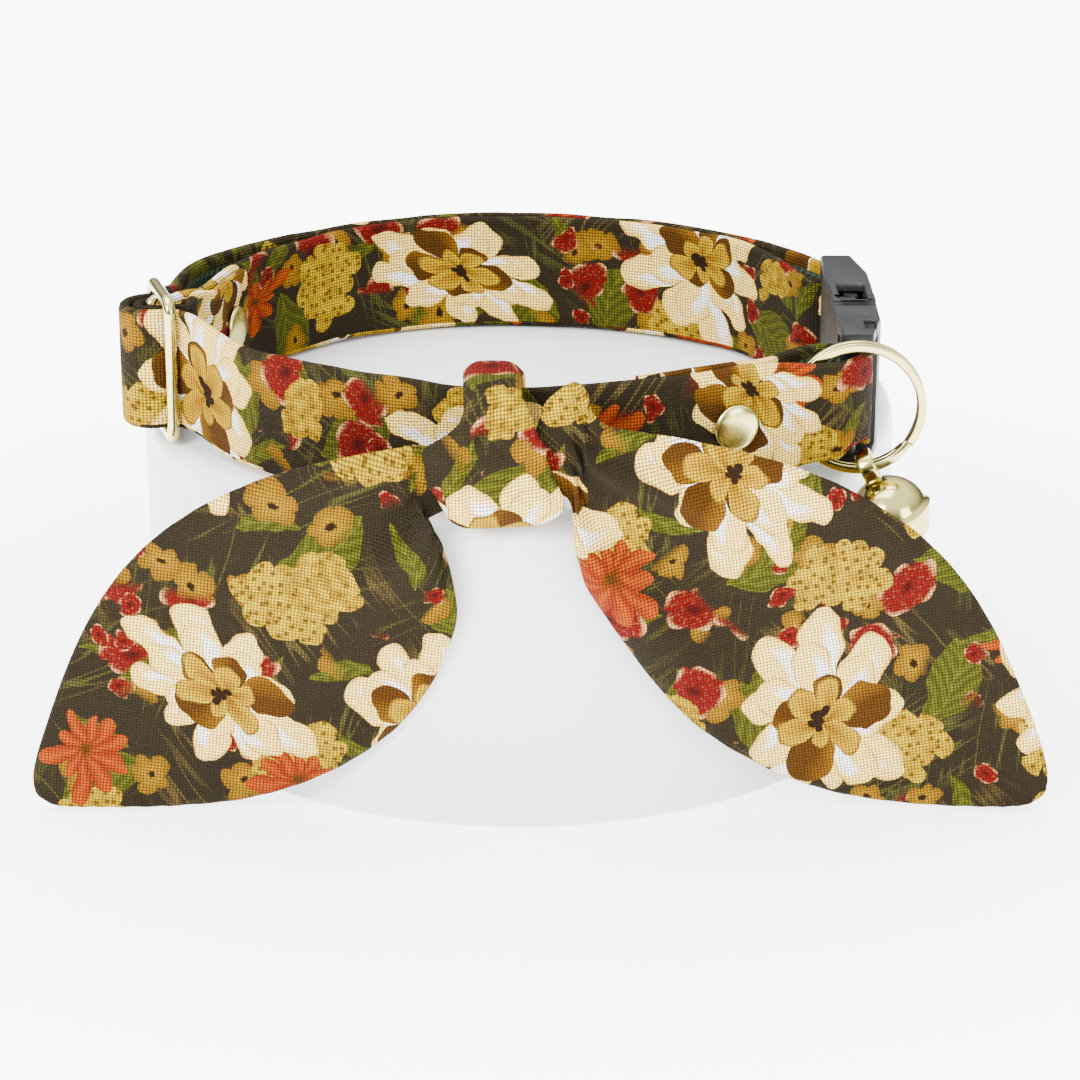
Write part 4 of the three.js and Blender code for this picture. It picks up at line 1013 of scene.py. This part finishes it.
def buildPlug():
    wall = buckle["wall"]
    outline = [(innerX + 0.4, buckleFront), (outerX - 1.5, buckleFront), (outerX - 0.5, plugBodyFront),
               (outerX, plugBodyFront + 2), (outerX, plugBodyRear + plugLip),
               (innerX, plugBodyRear + plugLip), (innerX, plugBodyFront)]
    body = outlinePiece(outline, buckleLow, buckleHigh)
    slotForStrap = boxPiece((innerX - 1, buckleFront - 1, buckleLow + wall),
                            (outerX + 1, plugBodyFront, buckleHigh - wall))
    recess = boxPiece((outerX - 0.6, plugBodyFront + 3, buckleLow + 3.2),
                      (outerX + 1, plugBodyRear - 2.6, buckleHigh - 3.2))
    step = boxPiece((innerX - 1, plugBodyFront + 1.8, buckleHigh - 0.55),
                    (outerX + 1, plugBodyRear - windowFront, buckleHigh + 1))
    window = boxPiece((innerX + buckle["shell"], plugBodyRear - windowFront, buckleHigh - windowDepth),
                      (outerX - buckle["shell"], plugBodyRear + 1, buckleHigh + 1))
    groove = boxPiece((outerX - 2.3, buckleFront + 2.2, buckleHigh - 0.8),
                      (outerX - 0.9, plugBodyFront + 0.9, buckleHigh + 1))
    cut(body, [slotForStrap, recess, step, window, groove])
    softened(body, "buckle_plug_body", 0.55, plasticBlack)
    join(body, [buckleBar(plugBar)])
    half = buckle["prong"] / 2
    front, rear = plugBodyRear - 0.5, plugBodyRear + buckle["prongLength"]
    prongs = []
    for side in (-1, 1):
        edge = buckleMiddle + side * (buckle["height"] / 2 - buckle["shell"] - 0.3)
        inner = edge - side * buckle["prongWidth"]
        prongs.append(boxPiece((buckleX - half, front, min(edge, inner)),
                               (buckleX + half, rear, max(edge, inner))))
    prongs.append(boxPiece((buckleX - half, front, buckleMiddle - 1.2),
                           (buckleX + half, rear - 1, buckleMiddle + 1.2)))
    join(body, prongs)
    body.data.set_sharp_from_angle(angle=math.radians(38))
    place(body, "buckle_plug")


def buildSocket():
    wall, shell = buckle["wall"], buckle["shell"]
    outline = [(innerX, socketFront), (outerX, socketFront), (outerX, socketFront + 3),
               (outerX - 0.1, socketBodyRear - 3), (outerX - 1.7, socketRear), (innerX - 0.2, socketRear),
               (innerX - 0.4, socketBodyRear - 3)]
    body = outlinePiece(outline, buckleLow, buckleHigh)
    slotForStrap = boxPiece((innerX - 2, socketBodyRear, buckleLow + wall),
                            (outerX + 1, socketRear + 1, buckleHigh - wall))
    upperWindow = boxPiece((innerX + shell, socketFront - 1, buckleHigh - windowDepth),
                           (outerX - shell, socketFront + 4.4, buckleHigh + 1))
    lowerWindow = boxPiece((innerX + shell, socketFront + 1.4, buckleLow - 1),
                           (outerX - shell, socketFront + 1.4 + buckle["window"], buckleMiddle))
    cut(body, [slotForStrap, upperWindow, lowerWindow])
    softened(body, "buckle_socket_body", 0.5, plasticBlack)
    cavityRear = plugBodyRear + buckle["prongLength"] + 0.6
    cut(body, [boxPiece((innerX + shell, socketFront - 1, buckleLow + shell),
                        (outerX - shell, cavityRear, buckleHigh - shell))])
    join(body, [buckleBar(socketBar)])
    body.data.set_sharp_from_angle(angle=math.radians(38))
    place(body, "buckle_socket")


buildPlug()
buildSocket()
print("stage: buckle")

# Bell: a shell with a raised seam, a crossed slot below and a hoop that hangs on the ring.
bell = {"radius": 5.1, "wall": 0.6, "seam": 0.35, "slot": 1.1, "hole": 1.05, "ball": 1.5, "lean": 25.0,
        "tabWidth": 2.0, "tabWall": 0.65, "tabClearance": 0.55, "tabSag": 0.12}
tabInner = math.hypot(ring["radial"] / 2, ringPitch / 2 + ring["axial"] / 2) + bell["tabClearance"]
lean = math.radians(bell["lean"])
bellDown = np.array([math.sin(lean), 0, -math.cos(lean)])
bellSide = np.array([math.cos(lean), 0, math.sin(lean)])
tabCentre = ringAtTab + bellDown * bell["tabSag"]
bellCentre = tabCentre + bellDown * (bell["radius"] + tabInner + bell["tabWall"] * 0.5)


# Half a circle from pole to pole, with a raised seam round its middle where one is given.
def ballProfile(radius, steps, seam=0.0):
    angle = np.radians(np.linspace(-90, 90, steps))
    raised = radius + seam * hump(np.degrees(angle), 4.0)
    profile = np.stack([raised * np.cos(angle), radius * np.sin(angle)], axis=1)
    profile[0, 0] = profile[-1, 0] = 0.01
    return profile


def buildBell():
    radius, wall = bell["radius"], bell["wall"]
    outer = ballProfile(radius, 61, bell["seam"]) * [1, -1]
    shell = spun("bell_shell", outer, bellCentre, bellDown, goldBell, 96)
    tools = [spun("bell_inside", ballProfile(radius - wall, 61), bellCentre, bellDown, goldBell, 48)]
    toViewer = np.array([0, 1.0, 0])
    length = radius * 1.5
    for first, second in ((bellSide, toViewer), (toViewer, bellSide)):
        work = bmesh.new()
        corners = [bellCentre + first * along * length / 2 + second * across * bell["slot"] / 2
                   for along, across in ((-1, -1), (1, -1), (1, 1), (-1, 1))]
        points = [work.verts.new((corner + bellDown * reach) * mm)
                  for reach in (radius * 0.4, radius + 1) for corner in corners]
        for face in ((0, 1, 2, 3), (7, 6, 5, 4), (0, 4, 5, 1), (1, 5, 6, 2), (2, 6, 7, 3), (3, 7, 4, 0)):
            work.faces.new([points[corner] for corner in face])
        bmesh.ops.recalc_face_normals(work, faces=work.faces)
        tools.append(pieceFrom(work, "slot"))
        for side in (-1, 1):
            middle = bellCentre + first * side * (length / 2 - 0.02)
            tools.append(rodPiece(middle + bellDown * radius * 0.27, middle + bellDown * radius * 1.3,
                                  bell["hole"], 29))
    cut(shell, tools)
    shaded(shell, 40)
    place(shell, "bell")
    # Hoop: a flat strip bent round, with rounded corners.
    around = np.linspace(0, 2 * np.pi, 64, endpoint=False)
    radial = np.cos(around)[:, None] * bellDown + np.sin(around)[:, None] * toViewer
    path = tabCentre + (tabInner + bell["tabWall"] / 2) * radial
    section = wireSection(bell["tabWall"], bell["tabWidth"], 0.5)
    hoop = sweepSection("bell_hoop", path, radial, np.tile(bellSide, (64, 1)), section, goldBell, True)
    place(hoop, "bell")
    drop = radius - wall - bell["ball"] - 0.3
    ballCentre = bellCentre - np.array([0, 0, drop])
    ball = ballProfile(bell["ball"], 33)
    place(spun("bell_ball_round", ball, ballCentre, (0, 0, 1), goldBell, 48), "bell_ball")


buildBell()
print("stage: bell")

# Bow tails. Each row is a section across the leaf: upper and lower edge in shares of half the
# bow's span and of its drop, the depth, and the height of the folds.
bow = {"halfSpan": 64.0, "drop": 54.0, "centreX": 2.6, "floorGap": 0.5, "thickness": 1.5,
       "lean": 8.2, "standGap": 2.5}
tailFaceY = -stand["radius"] - bow["standGap"]
leftTailRows = [
    (0.08, 0.94, 0.08, 0.835, 0, 0.1), (0.15, 0.955, 0.15, 0.815, 0, 0.15),
    (0.215, 0.955, 0.205, 0.785, 0, 0.2), (0.27, 0.945, 0.167, 0.66, 0.04, 1.6),
    (0.345, 0.925, 0.155, 0.545, 0.14, 1.9), (0.455, 0.89, 0.178, 0.44, 0.24, 1.5),
    (0.56, 0.84, 0.22, 0.33, 0.36, 0.9), (0.662, 0.77, 0.29, 0.222, 0.48, 0.4),
    (0.745, 0.69, 0.378, 0.137, 0.6, 0.15), (0.815, 0.595, 0.48, 0.073, 0.7, 0),
    (0.875, 0.48, 0.59, 0.03, 0.8, 0), (0.925, 0.35, 0.7, 0.01, 0.88, 0),
    (0.967, 0.215, 0.79, 0.001, 0.94, 0), (0.992, 0.125, 0.86, 0.0, 0.97, 0),
    (1.0, 0.075, 0.915, 0.0, 0.99, 0), (0.998, 0.045, 0.95, 0.003, 1, 0),
    (0.99, 0.026, 0.972, 0.011, 1, 0),
]
rightTailRows = [
    (-0.06, 0.94, -0.06, 0.87, 0, 0.1), (-0.012, 0.98, -0.005, 0.87, 0, 0.15),
    (0.015, 1.06, 0.02, 0.87, 0, 0.05), (0.05, 1.095, 0.05, 0.84, 0, 0.1),
    (0.088, 1.085, 0.066, 0.77, 0, 0.6), (0.102, 1.03, 0.068, 0.715, 0.02, 1.3),
    (0.132, 1.0, 0.077, 0.675, 0.04, 1.6), (0.185, 0.985, 0.09, 0.62, 0.08, 1.8),
    (0.27, 0.965, 0.115, 0.565, 0.14, 1.9), (0.41, 0.92, 0.17, 0.46, 0.24, 1.6),
    (0.54, 0.86, 0.235, 0.345, 0.36, 1.0), (0.647, 0.785, 0.312, 0.24, 0.48, 0.45),
    (0.742, 0.695, 0.398, 0.16, 0.6, 0.15), (0.822, 0.585, 0.49, 0.095, 0.7, 0),
    (0.886, 0.46, 0.585, 0.05, 0.8, 0), (0.938, 0.325, 0.685, 0.022, 0.88, 0),
    (0.977, 0.21, 0.785, 0.006, 0.94, 0), (1.0, 0.125, 0.865, 0.001, 0.97, 0),
    (1.008, 0.078, 0.925, 0.0, 0.99, 0), (1.006, 0.045, 0.96, 0.004, 1, 0),
    (0.998, 0.026, 0.982, 0.012, 1, 0),
]


# Folds of a tail, in millimetres and in shares of the leaf's width and length: two ridges that run
# out from the knot, small pleats beside it, and the pucker of the long seams.
tailFolds = {"ridge": 1.75, "ridgeWidth": 0.12, "lesser": 0.95, "lesserWidth": 0.09,
             "pleat": 0.8, "pleatReach": 0.34, "pleats": 4.5, "pucker": 0.09, "puckers": 26, "seam": 0.06}


def buildTail(name, side, rows, material, node, ridges):
    rows = throughPoints(rows, 12)
    count = len(rows)
    along = np.linspace(0, 1, count)[:, None]
    columns = 57
    share = np.linspace(0, 1, columns)[None, :]
    upX, upZ, lowX, lowZ, deep, fold = [rows[:, k:k + 1] for k in range(6)]
    x = bow["centreX"] + side * bow["halfSpan"] * (upX + (lowX - upX) * share)
    z = bow["floorGap"] + bow["drop"] * (upZ + (lowZ - upZ) * share)
    folds = tailFolds
    ripple = folds["ridge"] * hump(share - ridges[0], folds["ridgeWidth"])
    ripple = ripple + folds["lesser"] * hump(share - ridges[1], folds["lesserWidth"])
    near = np.clip((along - 0.13) / 0.06, 0, 1) * hump(along, folds["pleatReach"])
    pleat = folds["pleat"] * near * np.sin(share * 2 * np.pi * folds["pleats"] + 1.0 + along * 6)
    border = hump(np.minimum(share, 1 - share), folds["seam"]) * np.clip((along - 0.25) * 6, 0, 1)
    pleat = pleat + folds["pucker"] * border * np.sin(along * 2 * np.pi * folds["puckers"] + share * 3)
    y = tailFaceY + bow["lean"] * deep - fold * ripple + pleat
    # Thickness: the two layers meet in a rounded seam at the edges and at the tip.
    edge = np.clip(1 - np.abs(2 * share - 1) ** 14, 0, 1) ** 0.5
    tip = np.clip(1 - (np.clip(along - 0.9, 0, 1) / 0.1) ** 6, 0, 1) ** 0.5
    half = bow["thickness"] / 2 * (0.12 + 0.88 * edge * tip)
    front = np.stack([x, y - half, z], axis=2)
    back = np.stack([x, y + half, z], axis=2)[:, ::-1]
    grid = np.concatenate([front, back], axis=1)
    flat = np.stack([x, z], axis=2)
    cloth = np.concatenate([flat, flat[:, ::-1], flat[:, :1]], axis=1)
    piece = gridMesh(name, grid, [material], cloth=cloth)
    closeEnds(piece, count, columns)
    place(piece, node)
    return piece, ((x.max() - x.min()) * mm, (z.max() - z.min()) * mm), sheetArea(front) * mm * mm


def sheetArea(grid):
    first = np.cross(grid[1:, :-1] - grid[:-1, :-1], grid[:-1, 1:] - grid[:-1, :-1])
    second = np.cross(grid[1:, :-1] - grid[1:, 1:], grid[:-1, 1:] - grid[1:, 1:])
    return 0.5 * (np.linalg.norm(first, axis=2).sum() + np.linalg.norm(second, axis=2).sum())


# The neck and the tip are closed by a strip between the front and the back layer.
def closeEnds(piece, count, columns):
    work = bmesh.new()
    work.from_mesh(piece.data)
    bmesh.ops.remove_doubles(work, verts=work.verts, dist=1e-7)
    work.verts.ensure_lookup_table()
    wide = 2 * columns
    layer = work.loops.layers.uv["cloth"]
    for row in (0, count - 1):
        for k in range(columns - 1):
            spots = [row * wide + k, row * wide + k + 1,
                     row * wide + wide - 2 - k, row * wide + wide - 1 - k]
            face = work.faces.new([work.verts[spot] for spot in spots])
            face.smooth = True
            for loop in face.loops:
                loop[layer].uv = (loop.vert.co.x / mm, loop.vert.co.z / mm)
    bmesh.ops.recalc_face_normals(work, faces=work.faces)
    work.to_mesh(piece.data)
    work.free()


tails = [
    buildTail("left_tail_cloth", -1, leftTailRows, leftPrint, "bow_tail_left", (0.58, 0.12)),
    buildTail("right_tail_cloth", 1, rightTailRows, rightPrint, "bow_tail_right", (0.84, 0.3)),
]
print("stage: tails")

# Knot: a loop of folded cloth round the strap and the necks. Each row is a place round the loop
# in degrees from the back over the top, its width to left and right, and its wall.
knot = {"halfWidth": 7.6, "wall": 1.6, "front": 2.4, "top": 2.8, "slack": 1.0, "topSlack": 0.6, "tilt": 0.2,
        "columns": 33, "bulge": 0.52, "crown": 0.06, "leftCrease": 0.32, "rightCrease": 0.2}
knotRows = [
    (0, 0.5, 0.5, 1.6), (40, 0.5, 0.5, 1.6), (75, 0.49, 0.46, 2.8), (100, 0.48, 0.45, 2.8),
    (130, 0.46, 0.46, 2.6), (150, 0.52, 0.54, 2.4), (160, 0.62, 0.6, 2.4), (168, 0.8, 0.64, 2.4),
    (177, 1.12, 0.72, 2.4), (181, 1.06, 0.87, 2.4), (187, 0.93, 0.96, 2.4), (198, 0.81, 1.05, 2.4),
    (212, 0.72, 1.11, 2.4), (228, 0.64, 1.12, 2.2), (243, 0.58, 1.04, 1.8), (262, 0.5, 0.76, 1.6),
    (290, 0.5, 0.55, 1.6), (325, 0.5, 0.5, 1.6),
]


def buildKnot():
    rows = throughPoints([*knotRows, (360, 0.5, 0.5, 1.6)], 14)[:-1]
    at = np.radians(rows[:, 0])
    backY = knotPlace[1] + band["thickness"] / 2 + band["gap"] + knot["slack"]
    faceY = tailFaceY - bow["thickness"] / 2 - knot["front"] / 2 - 2 * band["gap"]
    low = band["bottom"] + 0.65 * knot["wall"]
    high = bandTop - knotSqueeze["high"] + knot["topSlack"] + knot["top"] / 2
    halfDepth = (backY + knot["wall"] / 2 - faceY) / 2
    middleY = (backY + knot["wall"] / 2 + faceY) / 2
    halfHeight, middleZ = (high - low) / 2, (high + low) / 2
    y = middleY + halfDepth * squared(np.cos(at), 0.45)
    z = middleZ + halfHeight * squared(np.sin(at), 0.45)
    out = unitRows(np.stack([np.cos(at) / halfDepth, np.sin(at) / halfHeight], axis=1))
    left, right = -knot["halfWidth"] * rows[:, 1:2], knot["halfWidth"] * rows[:, 2:3]
    wall = rows[:, 3:4]
    # The front's lower edge slants up to the right: the height rises with x where the loop is
    # at the front, by the tilt.
    front = eased(np.clip((-np.cos(at) - 0.2) / 0.6, 0, 1)[:, None])
    # Section: the outer face bulges. Two soft creases run from the top hollow down the front.
    share = np.linspace(0, 1, knot["columns"])[None, :]
    fromFront = np.degrees(at)[:, None] - 178
    onFront = hump(fromFront, 30)
    leftCrease = knot["leftCrease"] * hump(share - 0.36 + fromFront * 0.006, 0.07)
    rightCrease = knot["rightCrease"] * hump(share - 0.68 - fromFront * 0.002, 0.06)
    swell = knot["crown"] * np.sin(share * np.pi) - leftCrease - rightCrease
    outer = knot["bulge"] * (1 - np.abs(2 * share - 1) ** 4) + onFront * swell
    outsideX = left + (right - left) * share
    innerShare = np.linspace(1, 0, knot["columns"])[None, 1:-1]
    inner = -0.5 * (1 - np.abs(2 * innerShare - 1) ** 8) * np.ones_like(wall)
    insideX = left + (right - left) * innerShare
    outs = np.concatenate([outer * np.ones_like(wall), inner], axis=1) * wall
    xs = np.concatenate([outsideX, insideX], axis=1)
    rise = front * knot["tilt"] * np.maximum(xs, -4)
    grid = np.stack([xs + knotPlace[0], y[:, None] + out[:, 0:1] * outs,
                     z[:, None] + out[:, 1:2] * outs + rise], axis=2)
    loop = np.stack([y, z], axis=1)
    reach = distances(np.vstack([loop, loop[:1]]))
    # Cloth map: round the loop, and across it in millimetres, the same on both faces.
    across = np.pad(xs, ((0, 1), (0, 1)), mode="wrap")
    cloth = np.stack([np.broadcast_to(reach[:, None], across.shape), across], axis=2)
    piece = gridMesh("knot_cloth", grid, [knotPrint], closeRows=True, cloth=cloth)
    place(piece, "bow_knot")
    outerFace = np.concatenate([grid, grid[:1]])[:, :knot["columns"]]
    return piece, (2 * knot["halfWidth"] * mm, reach[-1] * mm), sheetArea(outerFace) * mm * mm


knotPiece, knotFlat, knotArea = buildKnot()
print("stage: knot")

# Floor and light. The sweep glows a little, more so away from the collar, as a bright backdrop does.
floorFit = {"half": 4.0, "glowStart": 0.06, "glowSlope": 10.0, "glowNear": 2.2, "glowRise": 3.4}
floorMesh = bpy.data.meshes.new("floor")
floorMesh.from_pydata([(x * floorFit["half"], y * floorFit["half"], 0)
                       for x, y in ((-1, -1), (1, -1), (1, 1), (-1, 1))], [], [(0, 1, 2, 3)])
floor = newPiece("floor", floorMesh)
floorMaterial, floorTree, floorShader = startMaterial("floor_white")
floorPlace = floorTree.nodes.new("ShaderNodeTexCoord").outputs["Object"]
floorX, floorY, _ = split(floorTree, floorPlace)
floorAway = (floorX * floorX + floorY * floorY).root()
floorGlow = ((floorAway - floorFit["glowStart"]) * floorFit["glowSlope"]).clamped()
floorCloud = noise(floorTree, floorPlace, 3.0, 2.0)
fill(floorTree, floorShader, {
    "Base Color": mixColour(floorTree, floorCloud, (0.93, 0.93, 0.93), (0.9, 0.9, 0.9)), "Roughness": 0.6,
    "Emission Color": (1.0, 1.0, 1.0, 1),
    "Emission Strength": floorGlow * floorFit["glowRise"] + floorFit["glowNear"]})
floorMesh.materials.append(floorMaterial)

# Sky of a light tent: bright overhead, dim towards the horizon, which puts dark bands in the metal.
skyFit = {"start": 0.2, "slope": 1.8, "rise": 3.0, "low": 0.2}
world = bpy.data.worlds.new("studio")
scene.world = world
world.use_nodes = True
worldTree = world.node_tree
sky = worldTree.nodes.new("ShaderNodeTexCoord").outputs["Generated"]
skyRise = ((split(worldTree, sky)[2] - skyFit["start"]) * skyFit["slope"]).clamped()
fill(worldTree, worldTree.nodes["Background"], {
    "Color": (1.0, 1.0, 1.0, 1), "Strength": skyRise * skyFit["rise"] + skyFit["low"]})

lamps = [
    {"name": "top_light", "place": (-0.25, 0.1, 1.2), "size": 0.9, "power": 26.0},
    {"name": "key_light", "place": (-0.75, -1.05, 0.85), "size": 0.5, "power": 44.0},
    {"name": "fill_light", "place": (0.9, -0.95, 0.5), "size": 0.6, "power": 16.0},
]
lampAim = Vector((0, 0, 0.03))
for lamp in lamps:
    data = bpy.data.lights.new(lamp["name"], "AREA")
    data.size = lamp["size"]
    data.energy = lamp["power"]
    light = newPiece(lamp["name"], data)
    light.location = lamp["place"]
    light.rotation_euler = (lampAim - Vector(lamp["place"])).to_track_quat("-Z", "Y").to_euler()
print("stage: floor and light")
